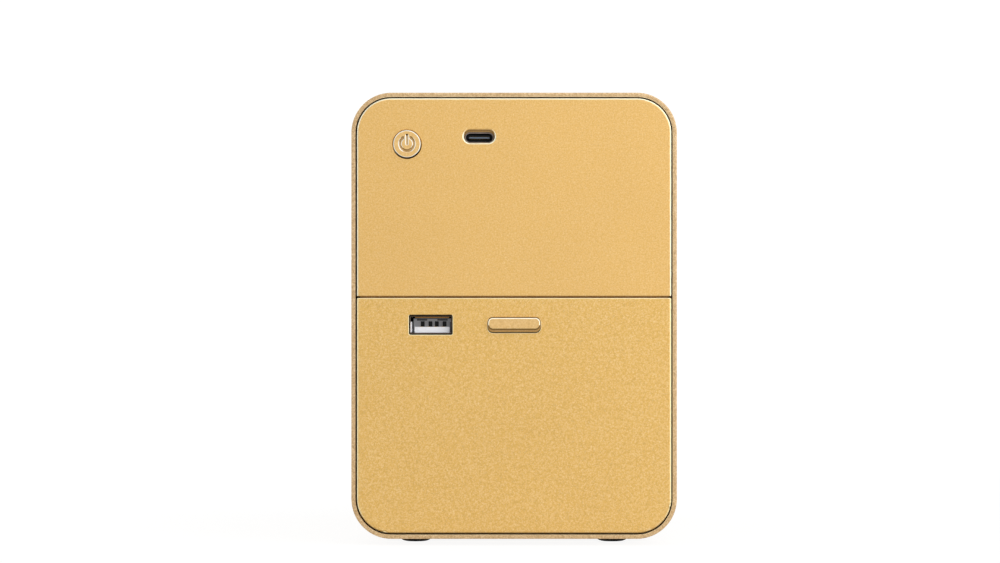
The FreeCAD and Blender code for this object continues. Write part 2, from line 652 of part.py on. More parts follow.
def status_light():
    """The light guide in the fascia, with the small lamp board behind it."""
    proud, collar_margin = 0.1, 2.0
    guide_back, collar_back = -74.0, -75.0
    guide = stadium(0, STATUS_Z, STATUS_SIZE, (-PANEL_FACE - proud, guide_back))
    collar = box(span(0, STATUS_SIZE[0] + collar_margin), (-PANEL_INSIDE, collar_back),
                 span(STATUS_Z, STATUS_SIZE[1] + collar_margin))
    return join(guide, collar)


def rubber_feet():
    """Four pads under the sleeve, over the chassis screws, domed down to a flat."""
    reach = FOOT_RADIUS - FOOT_FLAT_RADIUS
    dome = (reach ** 2 + FOOT_SKIRT ** 2) / (2 * FOOT_SKIRT)
    half_turn = math.asin(reach / dome) / 2
    flat = Vector(FOOT_FLAT_RADIUS, 0, 0)
    crown = flat + Vector(math.sin(half_turn), 0, 1 - math.cos(half_turn)) * dome
    rim = Vector(FOOT_RADIUS, 0, FOOT_SKIRT)
    corners = [rim, Vector(FOOT_RADIUS, 0, FOOT_HEIGHT), Vector(0, 0, FOOT_HEIGHT), Vector(), flat]
    edges = [Part.makeLine(start, end) for start, end in zip(corners, corners[1:])]
    section = Part.Wire([Part.Arc(flat, crown, rim).toShape()] + edges)
    foot = Part.Face(section).revolve(Vector(), Z_AXIS, 360.0)
    return group([foot.translated(Vector(x, y, 0)) for x, y in FOOT_SPOTS])


# ---------------------------------------------------------------- the inner frame

def base_tray():
    """The floor of the frame, clamped between the sleeve and the bulkheads."""
    half_width, half_length, corner = 36.5, 66.0, 3.0
    rim_x, rim_half_length, rim_top = (34.6, 36.2), 50.0, 9.0
    floor = rounded_box((-half_width, half_width), (-half_length, half_length), TRAY_Z, corner, Z_AXIS)
    rim = box(rim_x, (-rim_half_length, rim_half_length), (TRAY_TOP, rim_top))
    floor = join(floor, rim, mirror_x(rim))
    return less(floor, *[z_rod(x, y, past(TRAY_Z), CHASSIS_HOLE) for x, y in FOOT_SPOTS])


def bulkhead_blank():
    """A wall across the inside of the sleeve, with feet, rod sockets and deck tabs."""
    low, high = BULKHEAD_Y
    half_width, top, corner = 48.1, 137.1, 10.3
    tab_width, foot_top, tab_bottom = 9.0, 11.5, 97.6
    socket_radius, socket_depth = 4.6, 4.0
    wall = rounded_box((-half_width, half_width), BULKHEAD_Y, (TRAY_TOP, top), corner)
    tab_y = (low - BULKHEAD_TAB, low)
    feet = [box(span(x, tab_width), tab_y, (TRAY_TOP, foot_top)) for x in (-FOOT_X, FOOT_X)]
    tabs = [box(span(x, tab_width), tab_y, (tab_bottom, DECK_Z[0]))
            for x in (-DECK_SCREW_X, DECK_SCREW_X)]
    socket_y = (low - socket_depth, low)
    sockets = [y_rod(x, socket_y, Y_ROD_Z, socket_radius) for x in ROD_SIDES]
    sockets.append(y_rod(SCREW_X, socket_y, SCREW_Z, socket_radius))
    wall = join(wall, *feet, *tabs, *sockets)
    bore_y = past((socket_y[0], high))
    bores = [y_rod(x, bore_y, Y_ROD_Z, ROD_RADIUS) for x in ROD_SIDES]
    bores.append(y_rod(SCREW_X, bore_y, SCREW_Z, JOURNAL_RADIUS + 0.05))
    bores += [z_rod(x, FOOT_Y, (TRAY_Z[0], foot_top - 1.0), CHASSIS_SHANK) for x in (-FOOT_X, FOOT_X)]
    bores += [z_rod(x, DECK_SCREW_Y, past((tab_bottom, DECK_Z[0])), SCREW_SHANK)
              for x in (-DECK_SCREW_X, DECK_SCREW_X)]
    return less(wall, *bores)


def rear_bulkhead():
    """The rear wall: the cartridge window, the hinge arms and the socket brackets."""
    low, high = BULKHEAD_Y
    through, blind = past(BULKHEAD_Y), (low + 0.5, IO_BOARD_Y[1])
    window_width, window_z, window_corner = 68.0, (16.0, 87.0), 4.0
    wire_x, wire_z, wire_corner = (-30.0, -6.0), (110.0, 118.0), 2.0
    post_radius, pin_play, shelf_end = 2.4, 0.06, 73.0
    window = rounded_box(span(0, window_width), through, window_z, window_corner)
    wire_slot = rounded_box(wire_x, through, wire_z, wire_corner)
    arm = hinge_arm()
    posts = [y_rod(x, (high, IO_BOARD_Y[0]), z, post_radius) for x, z in IO_SCREWS]
    wall = less(bulkhead_blank(), window, wire_slot)
    wall = join(wall, *socket_bracket(shelf_end), arm, mirror_x(arm), *posts)
    pins = x_rod((-INSIDE_X, INSIDE_X), HINGE_Y, HINGE_Z, HINGE_PIN_RADIUS + pin_play)
    shell_room = box(span(USB_A_X, USB_A_SHELL[0] + 0.4), (through[0], shelf_end),
                     raised(USB_A_Z, (-3.0, 3.05)))
    covers = [y_rod(x, through, z, SCREW_CLEAR) for x, z in COVER_BOSSES]
    boards = [y_rod(x, blind, z, SCREW_SHANK) for x, z in IO_SCREWS]
    return less(wall, pins, shell_room, *covers, *boards)


def socket_bracket(shelf_end):
    """The plate across the window's corner and the shelf that hold the data socket's board."""
    left, plate_width, shelf_width = 18.0, 17.0, 19.0
    shelf_drop, shelf, rise = 3.6, 2.0, 9.8
    bottom = USB_A_FLOOR - shelf_drop
    plate = box((left, left + plate_width), BULKHEAD_Y, (bottom, USB_A_FLOOR + rise))
    ledge = box((left, left + shelf_width), (BULKHEAD_Y[0], shelf_end), (bottom, bottom + shelf))
    return [plate, ledge]


def hinge_arm():
    """One tapering arm that carries the door, with the eye for its pin."""
    root, low, tip_high, root_high = BULKHEAD_Y[1] - 0.5, -0.4, 3.6, 6.0
    profile = [(root, HINGE_Z + low), (HINGE_Y, HINGE_Z + low),
               (HINGE_Y, HINGE_Z + tip_high), (root, HINGE_Z + root_high)]
    return prism(profile, HINGE_ARM_X).fuse(x_rod(HINGE_ARM_X, HINGE_Y, HINGE_Z, HINGE_EYE_RADIUS))


def front_bulkhead():
    """The front wall: the opening for the finger well, and the feed motor's seat."""
    half_width, opening_z, low_round, high_round = 28.0, (5.0, 47.0), 1.0, 16.0
    wire_width, wire_z, wire_corner = 36.0, (88.0, 96.0), 2.0
    through = past((-BULKHEAD_Y[1], BULKHEAD_TAB - BULKHEAD_Y[0]))
    opening = port_box(half_width, through, opening_z, low_round, high_round)
    wire_slot = rounded_box(span(0, wire_width), through, wire_z, wire_corner)
    screws = [y_rod(x, through, z, SCREW_CLEAR) for x, z in FASCIA_BOSSES]
    return less(mirror_y(bulkhead_blank()), opening, wire_slot, *screws)


def board_deck():
    """The shelf that carries the main board, with posts, a camera hole and a cable slot."""
    reach, half_width = BULKHEAD_Y[0] - 0.2, 46.0
    post_radius, camera_hole, skin = 2.6, 4.0, 0.6
    slot_x, slot_y = (-15.0, 1.0), (-15.0, -9.0)
    deck = box((-half_width, half_width), (-reach, reach), DECK_Z)
    posts = [z_rod(x, y, (DECK_Z[1], MAIN_BOARD_Z[0]), post_radius) for x, y in BOARD_SCREWS]
    cable_slot = box(slot_x, slot_y, past(DECK_Z))
    camera = z_rod(0, CAMERA_Y, past(DECK_Z), camera_hole)
    bores = [z_rod(x, y, (DECK_Z[0] + skin, MAIN_BOARD_Z[1]), SCREW_SHANK) for x, y in BOARD_SCREWS]
    bores += [z_rod(x, y, past(DECK_Z), SCREW_CLEAR) for x, y in DECK_SCREWS]
    return less(join(deck, *posts), cable_slot, camera, *bores)


# ---------------------------------------------------------------- the feed along Y

def y_guide_rods():
    """The two steel rods that the gantry runs on."""
    reach = BULKHEAD_Y[1] - 0.5
    return group([y_rod(x, (-reach, reach), Y_ROD_Z, ROD_RADIUS) for x in ROD_SIDES])


def lead_screw():
    """The feed screw, with a bare journal at each end."""
    return join(y_rod(SCREW_X, span(0, THREAD_LENGTH), SCREW_Z, ROD_RADIUS),
                y_rod(SCREW_X, JOURNAL_Y, SCREW_Z, JOURNAL_RADIUS))


def y_motor():
    """The feed motor on the front bulkhead: can, front plate and terminal block."""
    radius, start, hollow_radius, hollow_start = 7.0, -75.6, 2.2, -66.0
    block_width, block_y, block_z = 6.0, (-73.0, -66.0), (6.0, 9.4)
    can = y_rod(SCREW_X, (start, -BULKHEAD_Y[1]), SCREW_Z, radius)
    terminals = box(span(SCREW_X, block_width), block_y, raised(SCREW_Z, block_z))
    hollow = y_rod(SCREW_X, (hollow_start, -BULKHEAD_Y[0]), SCREW_Z, hollow_radius)
    return join(can, terminals).cut(hollow)


def lead_nut():
    """The flanged brass nut that the feed screw drives."""
    flange_radius, flange, bore = 4.6, 1.5, ROD_RADIUS + 0.05
    face = GANTRY_Y - GANTRY_LENGTH / 2
    ends = (face - flange, face + NUT_LENGTH)
    nut = join(y_rod(SCREW_X, (face, ends[1]), SCREW_Z, NUT_RADIUS),
               y_rod(SCREW_X, (ends[0], face), SCREW_Z, flange_radius))
    return nut.cut(y_rod(SCREW_X, past(ends), SCREW_Z, bore))


# ---------------------------------------------------------------- the gantry

def gantry_frame():
    """The moulded arch: two uprights on bush blocks, and the beam across their tops."""
    y = span(GANTRY_Y, GANTRY_LENGTH)
    low, high = UPRIGHT_X
    block_half, block_edge, foot = 4.8, 45.6, 17.4
    window_width, window_z, window_corner = 14.0, (44.0, 70.0), 3.0
    beam_depth, rib, rib_offset, rib_height = 24.0, 1.4, 8.0, 1.6
    stub_radius, motor_hole = 1.2, 2.6
    upright = box(UPRIGHT_X, y, (foot, BEAM_Z[1]))
    block = box((low, block_edge), y, raised(Y_ROD_Z, (-block_half, block_half)))
    window = rounded_box(past(UPRIGHT_X), span(GANTRY_Y, window_width), window_z, window_corner, X_AXIS)
    side = join(upright, block).cut(window)
    beam = box((-high, high), span(GANTRY_Y, beam_depth), BEAM_Z)
    ribs = [box((-high, PULLEY_X - 11.0), span(GANTRY_Y + dy, rib), raised(BEAM_Z[1], (0, rib_height)))
            for dy in (-rib_offset, rib_offset)]
    nut_block = box(span(SCREW_X - 0.1, 2 * block_half), (y[0], y[0] + NUT_LENGTH),
                    raised(SCREW_Z, (-block_half, block_half)))
    stub = z_rod(-PULLEY_X, GANTRY_Y, (BELT_Z[0] - 1.2, BEAM_Z[0] + 0.3), stub_radius)
    frame = join(side, mirror_x(side), beam, *ribs, nut_block, stub)
    bores = [y_rod(x, past(y), Y_ROD_Z, Y_BUSH_RADIUS) for x in ROD_SIDES]
    bores.append(y_rod(SCREW_X, past(y), SCREW_Z, NUT_RADIUS))
    bores += [x_rod(past((-high, high)), line, X_ROD_Z, ROD_RADIUS) for line in X_ROD_LINES]
    bores.append(z_rod(PULLEY_X, GANTRY_Y, past(BEAM_Z), motor_hole))
    return less(frame, *bores)


def bush(shape_of, radius, ends):
    """A plain bush between two ends, from a function of span and radius."""
    return shape_of(ends, radius).cut(shape_of(past(ends), ROD_RADIUS + BUSH_CLEARANCE))


def gantry_bushes():
    """Four bronze bushes, two on each guide rod."""
    reach = GANTRY_LENGTH / 2
    bushes = []
    for x in ROD_SIDES:
        for start in (GANTRY_Y - reach, GANTRY_Y + reach - BUSH_LENGTH):
            bushes.append(bush(lambda ends, radius: y_rod(x, ends, Y_ROD_Z, radius),
                               Y_BUSH_RADIUS, (start, start + BUSH_LENGTH)))
    return group(bushes)


def x_guide_rods():
    """The two steel rods that the head carriage hangs on."""
    reach = UPRIGHT_X[1]
    return group([x_rod((-reach, reach), line, X_ROD_Z, ROD_RADIUS) for line in X_ROD_LINES])


def x_motor():
    """The carriage motor: a can on the beam, with its pilot in the beam's hole."""
    can_radius, can_height, cap_radius, cap_height = 7.4, 11.6, 2.6, 0.8
    pilot_radius, block_width, block_y, block_z = 2.5, 6.0, (-9.6, -6.0), (1.0, 7.0)
    can_top = BEAM_Z[1] + can_height
    can = z_rod(PULLEY_X, GANTRY_Y, (BEAM_Z[1], can_top), can_radius)
    cap = z_rod(PULLEY_X, GANTRY_Y, (can_top, can_top + cap_height), cap_radius)
    pilot = z_rod(PULLEY_X, GANTRY_Y, BEAM_Z, pilot_radius)
    terminals = box(span(PULLEY_X, block_width), raised(GANTRY_Y, block_y),
                    raised(BEAM_Z[1], block_z))
    return join(can, cap, pilot, terminals)


def pulley(x):
    """A flanged belt pulley that turns about Z."""
    plate, rim, play = 0.5, 1.2, 0.2
    core = (BELT_Z[0] - play, BELT_Z[1] + play)
    plates = [z_rod(x, GANTRY_Y, (z, z + plate), PULLEY_RADIUS + rim)
              for z in (core[0] - plate, core[1])]
    return join(z_rod(x, GANTRY_Y, core, PULLEY_RADIUS), *plates)


def x_drive_pulley():
    """The driving pulley, with the stub of the motor's shaft."""
    shaft_radius, gap = 1.0, 0.1
    shaft = z_rod(PULLEY_X, GANTRY_Y, (BELT_Z[0], BEAM_Z[0] - gap), shaft_radius)
    return join(pulley(PULLEY_X), shaft)


def x_idler_pulley():
    """The idler, which turns on the beam's moulded stub."""
    return pulley(-PULLEY_X).cut(z_rod(-PULLEY_X, GANTRY_Y, past(past(BELT_Z)), 1.25))


def x_belt():
    """The toothed belt round both pulleys."""
    loops = [rounded_box((-PULLEY_X - r, PULLEY_X + r), span(GANTRY_Y, 2 * r), BELT_Z, r - TINY, Z_AXIS)
             for r in (BELT_INNER + BELT_THICKNESS, BELT_INNER)]
    return loops[0].cut(loops[1])


# ---------------------------------------------------------------- the print head

def head_carriage():
    """The cradle: a box that is open behind, with bush housings and latch lugs on top."""
    low, high = CARRIAGE_Z
    front, back = CARRIAGE_Y
    wall, floor, room = 1.7, 1.6, CARTRIDGE_HALF_WIDTH + 0.3
    nose_width, nose_y = 28.4, (11.4, 25.2)
    window_y, window_z, window_corner = (26.0, 50.0), (43.0, 66.0), 4.0
    housing_depth, housing_rise = 8.0, 4.0
    lug_x, lug_y, lug_rise = (5.0, 7.0), (-2.3, 2.3), 2.0
    width = (-CARRIAGE_X, CARRIAGE_X)
    inside = box((-room, room), (front + wall, back + BEYOND), (low + floor, high - wall))
    nose_hole = box(span(0, nose_width), nose_y, (low - BEYOND, low + 2 * wall))
    side_windows = rounded_box(past(width), window_y, window_z, window_corner, X_AXIS)
    shell = less(box(width, CARRIAGE_Y, CARRIAGE_Z), inside, nose_hole, side_windows)
    housings = [box(span(x, X_BUSH_LENGTH), span(line, housing_depth), (high, X_ROD_Z + housing_rise))
                for x in (-X_BUSH_X, X_BUSH_X) for line in X_ROD_LINES]
    lug = box(lug_x, raised(CLAMP_Y, lug_y), (high, CLAMP_Z + lug_rise))
    shell = join(shell, *housings, lug, mirror_x(lug))
    bores = [x_rod(width, line, X_ROD_Z, X_BUSH_RADIUS) for line in X_ROD_LINES]
    return less(shell, *bores, x_rod(width, CLAMP_Y, CLAMP_Z, CLAMP_PIN + 0.05))


def carriage_bushes():
    """Four bronze bushes in the carriage's housings."""
    bushes = []
    for line in X_ROD_LINES:
        for middle in (-X_BUSH_X, X_BUSH_X):
            bushes.append(bush(lambda ends, radius: x_rod(ends, line, X_ROD_Z, radius),
                               X_BUSH_RADIUS, span(middle, X_BUSH_LENGTH)))
    return group(bushes)


def belt_clip():
    """The clip on the carriage that holds the near run of the belt."""
    width, depth, jaw, jaw_offset = span(0, 9.2), 2.6, 0.7, 0.95
    under, over = 0.3, 0.6
    belt_y = GANTRY_Y - BELT_INNER - BELT_THICKNESS / 2
    base_top = BELT_Z[0] - under
    base = box(width, span(belt_y, depth), (CARRIAGE_Z[1], base_top))
    jaws = [box(width, span(belt_y + dy, jaw), (base_top, BELT_Z[1] + over))
            for dy in (-jaw_offset, jaw_offset)]
    return join(base, *jaws)


def ink_cartridge():
    """The ink cartridge: a tall body with a lid, a nose over the nozzles, and a finger lip."""
    half, corner, lid_step = CARTRIDGE_HALF_WIDTH, 2.0, 0.4
    nose_width, nose_y, nose_corner = 27.0, (12.0, 24.5), 1.5
    grip_width, grip_y, grip_low, grip, grip_pitch = 18.0, (-1.6, 1.0), 40.0, 0.9, 2.4
    bottom, top = CARTRIDGE_Z
    body = rounded_box((-half, half), CARTRIDGE_Y, (bottom, CARTRIDGE_LID_Z), corner, Z_AXIS)
    lid_y = (CARTRIDGE_Y[0] + lid_step, CARTRIDGE_Y[1] - lid_step)
    lid = rounded_box((lid_step - half, half - lid_step), lid_y, (CARTRIDGE_LID_Z, top), corner, Z_AXIS)
    nose = rounded_box(span(0, nose_width), nose_y, (NOZZLE_Z + NOZZLE_PLATE[2], bottom),
                       nose_corner, Z_AXIS)
    grips = [box(span(0, grip_width), raised(CARTRIDGE_Y[1], grip_y), raised(grip_low, (z, z + grip)))
             for z in (0, grip_pitch, 2 * grip_pitch)]
    return join(body, lid, nose, *grips)


def nozzle_plate():
    """The plate with the nozzles, under the cartridge's nose."""
    width, depth, sheet = NOZZLE_PLATE
    return box(span(0, width), span(NOZZLE_Y, depth), (NOZZLE_Z, NOZZLE_Z + sheet))


def cartridge_latch():
    """The flip latch that holds the cartridge in, with its own pivot pin."""
    arm, hook, corner = 1.6, 2.7, 1.3
    width, pin_length, hub_radius = 9.0, 14.0, 1.8
    inner, under, top, hook_z = 58.3, 76.4, 79.0, (69.2, 70.2)
    outer = inner + arm
    profile = [(CLAMP_Y, under), (inner, under), (inner, hook_z[1] + 0.4), (outer - hook, hook_z[1]),
               (outer - hook, hook_z[0]), (outer, hook_z[0]), (outer, top - corner),
               (outer - corner, top), (CLAMP_Y, top)]
    hub = x_rod(span(0, width), CLAMP_Y, CLAMP_Z, hub_radius)
    pin = x_rod(span(0, pin_length), CLAMP_Y, CLAMP_Z, CLAMP_PIN)
    return join(prism(profile, span(0, width)), hub, pin)


# ---------------------------------------------------------------- the service station

def cap_base():
    """The station's body on the tray: a well for the capping sled, and a wiper post."""
    body_width, body_y, body_top, corner = 32.0, (8.0, 29.0), 23.0, 1.5
    post_width, post_y, post_top = 22.0, (3.0, 8.2), 25.0
    play = 0.2
    body = rounded_box(span(0, body_width), body_y, (TRAY_TOP, body_top), corner, Z_AXIS)
    well = box(span(0, SLED_WIDTH + 2 * play), (SLED_Y[0] - play, SLED_Y[1] + play),
               (WELL_FLOOR, STATION_SLED_Z[1]))
    post = box(span(0, post_width), post_y, (TRAY_TOP, post_top))
    slot = box(WIPER_X, WIPER_Y, (WIPER_ROOT, SEAL_TOP))
    return less(join(body, post), well, slot)


def cap_sled():
    """The sprung sled that carries the seal."""
    bottom, room, depth = STATION_SLED_Z[0], 5.0, 7.0
    sled = box(span(0, SLED_WIDTH), SLED_Y, STATION_SLED_Z)
    return sled.cut(z_rod(0, NOZZLE_Y, (bottom - BEYOND, bottom + depth), room))


def cap_seal():
    """The rubber lip that closes round the nozzles."""
    width, depth, corner, lip, web = 22.0, 12.0, 1.5, 1.6, 1.0
    floor = STATION_SLED_Z[1]
    x, y = span(0, width), span(NOZZLE_Y, depth)
    ring = rounded_box(x, y, (floor, SEAL_TOP), corner, Z_AXIS)
    return ring.cut(box((x[0] + lip, x[1] - lip), (y[0] + lip, y[1] - lip),
                        (floor + web, SEAL_TOP + BEYOND)))


def cap_spring():
    """The coil spring under the sled."""
    radius, wire, pitch, turns = 3.6, 0.4, 2.3, 6.9
    return coil((0, NOZZLE_Y, WELL_FLOOR + 0.5), Z_AXIS, radius, wire, pitch, turns)


def wiper_blade():
    """The rubber blade that wipes the nozzles as the head leaves its park."""
    return box(WIPER_X, WIPER_Y, (WIPER_ROOT, SEAL_TOP))


# ---------------------------------------------------------------- the electronics

def main_board():
    """The control board on the deck."""
    board = rounded_box((-38.0, 38.0), MAIN_BOARD_Y, MAIN_BOARD_Z, 2.0, Z_AXIS)
    return less(board, *[z_rod(x, y, past(MAIN_BOARD_Z), SCREW_CLEAR) for x, y in BOARD_SCREWS])


def heat_sink(floor):
    """A finned heat sink that stands on a chip."""
    width, depth, plate, height = 20.0, 18.0, 2.0, 7.4
    fin, fin_pitch, fins = 1.2, 3.2, 6
    x = span(CHIP_X, width)
    first = CHIP_Y - fin_pitch * (fins - 1) / 2
    blades = [box(x, span(first + fin_pitch * n, fin), raised(floor, (plate, height)))
              for n in range(fins)]
    return join(box(x, span(CHIP_Y, depth), (floor, floor + plate)), *blades)


def board_components():
    """What stands on the control board: processor and heat sink, radio, drivers, sockets."""
    chip, radio, driver, socket, ribbon = 1.6, 2.6, 1.0, 5.0, 2.2
    driver_side, socket_width, socket_y = 7.0, 9.0, (49.0, 54.0)
    ribbon_x, ribbon_y = (-15.0, 1.0), (-7.4, -2.4)
    can_radius, can_height = 3.1, 7.7
    top = MAIN_BOARD_Z[1]
    parts = [box(span(CHIP_X, 16.0), span(CHIP_Y, 16.0), (top, top + chip)), heat_sink(top + chip)]
    parts.append(box(span(24.0, 16.0), span(36.0, 22.0), (top, top + radio)))
    parts += [box(span(x, driver_side), span(6.0, driver_side), (top, top + driver))
              for x in (14.0, 26.0)]
    parts += [z_rod(x, y, (top, top + can_height), can_radius) for x, y in CAPACITORS]
    parts += [box(span(x, socket_width), socket_y, (top, top + socket)) for x in (-22.0, -8.0, 6.0)]
    parts.append(box(ribbon_x, ribbon_y, (top, top + ribbon)))
    return group(parts)


def io_board():
    """The upright board behind the upper cover, with the power socket and the switch."""
    board_x, board_z = (-2.0, 38.6), (112.0, 132.6)
    board = box(board_x, IO_BOARD_Y, board_z)
    return less(board, *[y_rod(x, past(IO_BOARD_Y), z, SCREW_CLEAR) for x, z in IO_SCREWS])


def usb_c_shell():
    """The power socket's steel shell."""
    front, mouth_back, corner, mouth_corner = 77.3, 70.0, 1.6, 1.3
    shell = rounded_box(span(USB_C_X, USB_C_SHELL[0]), (IO_BOARD_Y[1], front),
                        span(USB_C_Z, USB_C_SHELL[1]), corner)
    return shell.cut(rounded_box(span(USB_C_X, USB_C_MOUTH[0]), (mouth_back, LIMIT_Y),
                                 span(USB_C_Z, USB_C_MOUTH[1]), mouth_corner))


def usb_c_tongue():
    """The power socket's tongue and back block."""
    back_y, tip, width, thickness, corner, play = (70.0, 71.0), 76.6, 6.6, 0.7, 1.28, 0.05
    tongue = box(span(USB_C_X, width), (back_y[0], tip), span(USB_C_Z, thickness))
    back = rounded_box(span(USB_C_X, USB_C_MOUTH[0] - play), back_y,
                       span(USB_C_Z, USB_C_MOUTH[1] - play), corner)
    return join(tongue, back)


def usb_a_board():
    """The small board under the data socket."""
    board_x, board_y, thickness = (18.4, 36.4), (63.0, 73.0), 1.6
    return box(board_x, board_y, (USB_A_FLOOR - thickness, USB_A_FLOOR))


def usb_a_shell():
    """The data socket's steel shell."""
    sheet, back_wall = 0.3, 0.4
    ends = (62.8, 76.3)
    width, height = USB_A_SHELL
    shell = box(span(USB_A_X, width), ends, span(USB_A_Z, height))
    mouth = box(span(USB_A_X, width - 2 * sheet), (ends[0] + back_wall, LIMIT_Y),
                span(USB_A_Z, height - 2 * sheet))
    return shell.cut(mouth)


def usb_a_tongue():
    """The data socket's insert: a back block with four slots, and the tongue below them."""
    x, floor = USB_A_INSERT_X, USB_A_FLOOR + 0.32
    back_width, back_y, back_height = 11.5, (63.3, 71.6), 4.4
    tongue_width, tongue_tip, tongue_z = 10.7, 75.6, (0.1, 1.85)
    slot_width, slot_depth, slot_z = 1.2, 2.6, (1.9, 3.55)
    back = box(span(x, back_width), back_y, (floor, floor + back_height))
    tongue = box(span(x, tongue_width), (back_y[1], tongue_tip), raised(floor, tongue_z))
    slots = [box(span(x + dx, slot_width), (back_y[1] - slot_depth, back_y[1] + TINY),
                 raised(floor, slot_z))
             for dx in (-3.8, -1.4, 0.55, 2.95)]
    return less(join(back, tongue), *slots)


def camera_module():
    """The camera under the deck that looks down at the nail: board, housing and lens."""
    side, glass, barrel = 12.0, 3.0, 3.8
    glass_z, barrel_z, housing_z = (89.2, 89.6), (89.6, 93.0), (93.0, LAMP_RING_Z)
    plug_top = DECK_Z[1] + 0.5
    housing = rounded_box(span(0, side), span(CAMERA_Y, side), housing_z, 1.0, Z_AXIS)
    return join(housing, z_rod(0, CAMERA_Y, barrel_z, barrel), z_rod(0, CAMERA_Y, glass_z, glass),
                z_rod(0, CAMERA_Y, (LAMP_RING_Z, plug_top), barrel))


def light_ring():
    """The ring of lamps round the camera."""
    outer, inner, lamp_side, lamp_z = 14.6, 5.0, 3.0, (-1.2, 0.1)
    ring_z = (LAMP_RING_Z, DECK_Z[0])
    ring = z_rod(0, CAMERA_Y, ring_z, outer).cut(z_rod(0, CAMERA_Y, past(ring_z), inner))
    lamps = []
    for step in range(LAMP_COUNT):
        angle = 2 * math.pi * step / LAMP_COUNT
        x, y = LAMP_CIRCLE * math.cos(angle), CAMERA_Y + LAMP_CIRCLE * math.sin(angle)
        lamps.append(box(span(x, lamp_side), span(y, lamp_side), raised(LAMP_RING_Z, lamp_z)))
    return join(ring, *lamps)


def head_ribbon():
    """The flat cable from the carriage up to the main board, with one rolling loop."""
    corners = [(8.7, 60.0), (8.7, 92.0), (20.0, 92.0), (20.0, 97.4), (-12.0, 97.4),
               (-12.0, 108.7), (-7.5, 108.7)]
    bend, thickness = 2.4, 0.3
    return strip(corners, bend, (-14.0, 0.0), thickness)


# ---------------------------------------------------------------- fasteners

def casing_screws():
    """The screws through the bulkheads into the cover's and the fascia's bosses."""
    start = BULKHEAD_Y[0]
    rear = [pan_screw((x, start, z), Y_AXIS, CASING_SCREW) for x, z in COVER_BOSSES]
    front = [pan_screw((x, -start, z), -Y_AXIS, CASING_SCREW) for x, z in FASCIA_BOSSES]
    return group(rear + front)


def chassis_screws():
    """The countersunk screws under the feet that hold sleeve, tray and bulkheads together."""
    cone, rim_radius, tip = 1.2, 2.35, FOOT_HEIGHT + 8.0
    screws = []
    for x, y in FOOT_SPOTS:
        head = Part.makeCone(CHASSIS_HEAD, CHASSIS_SHANK, cone, Vector(x, y, FOOT_HEIGHT), Z_AXIS)
        head = head.common(z_rod(x, y, (0, tip), rim_radius))
        screws.append(join(head, z_rod(x, y, (FOOT_HEIGHT + 0.4, tip), CHASSIS_SHANK)))
    return group(screws)


def board_screws():
    """The screws of the deck, the main board and the socket board."""
    deck = [pan_screw((x, y, DECK_Z[1]), -Z_AXIS, DECK_SCREW) for x, y in DECK_SCREWS]
    board = [pan_screw((x, y, MAIN_BOARD_Z[1]), -Z_AXIS, BOARD_SCREW) for x, y in BOARD_SCREWS]
    io = [pan_screw((x, IO_BOARD_Y[1], z), -Y_AXIS, BOARD_SCREW) for x, z in IO_SCREWS]
    return group(deck + board + io)


PIECES = [
    outer_sleeve, rear_upper_cover, rear_door, front_fascia, port_bezel, finger_well,
    finger_rest, finger_pad, status_light, rubber_feet, door_hinge_pins, latch_button,
    latch_lever, latch_pivot_pin, latch_spring, latch_keeper, power_button, switch_plunger,
    power_switch, base_tray, front_bulkhead, rear_bulkhead, board_deck, y_guide_rods,
    lead_screw, y_motor, lead_nut, gantry_frame, gantry_bushes, x_guide_rods, x_motor,
    x_belt, x_drive_pulley, x_idler_pulley, head_carriage, carriage_bushes, belt_clip,
    ink_cartridge, nozzle_plate, cartridge_latch, cap_base, cap_sled, cap_seal, cap_spring,
    wiper_blade, main_board, board_components, io_board, usb_c_shell, usb_c_tongue,
    usb_a_board, usb_a_shell, usb_a_tongue, camera_module, light_ring, head_ribbon,
    casing_screws, chassis_screws, board_screws,
]


def main():
    """Builds every piece and writes one STEP file for each."""
    os.makedirs("parts", exist_ok=True)
    for build in PIECES:
        shape = build()
        if not shape.isValid() or not shape.Solids:
            raise ValueError(build.__name__ + " is not a valid solid")
        shape.exportStep(os.path.join("parts", build.__name__ + ".step"))
        print(f"{build.__name__:18} {len(shape.Solids):3} solids {shape.Volume:10.1f} mm3")


main()
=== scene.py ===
"""Dresses a desktop nail printer: a champagne sleeve, gold covers, its sockets, buttons and print engine.

Everything is in metres, in the row frame of the solids: +Z up, the finger port towards -Y and the
covers with the power button and the sockets towards +Y. Sizes are written in millimetres times MM.
"""

import json
import logging
import math
from dataclasses import dataclass
from enum import Enum
from functools import cache
from typing import Callable, Iterable, NamedTuple

import bmesh
import bpy
from mathutils import Matrix, Vector

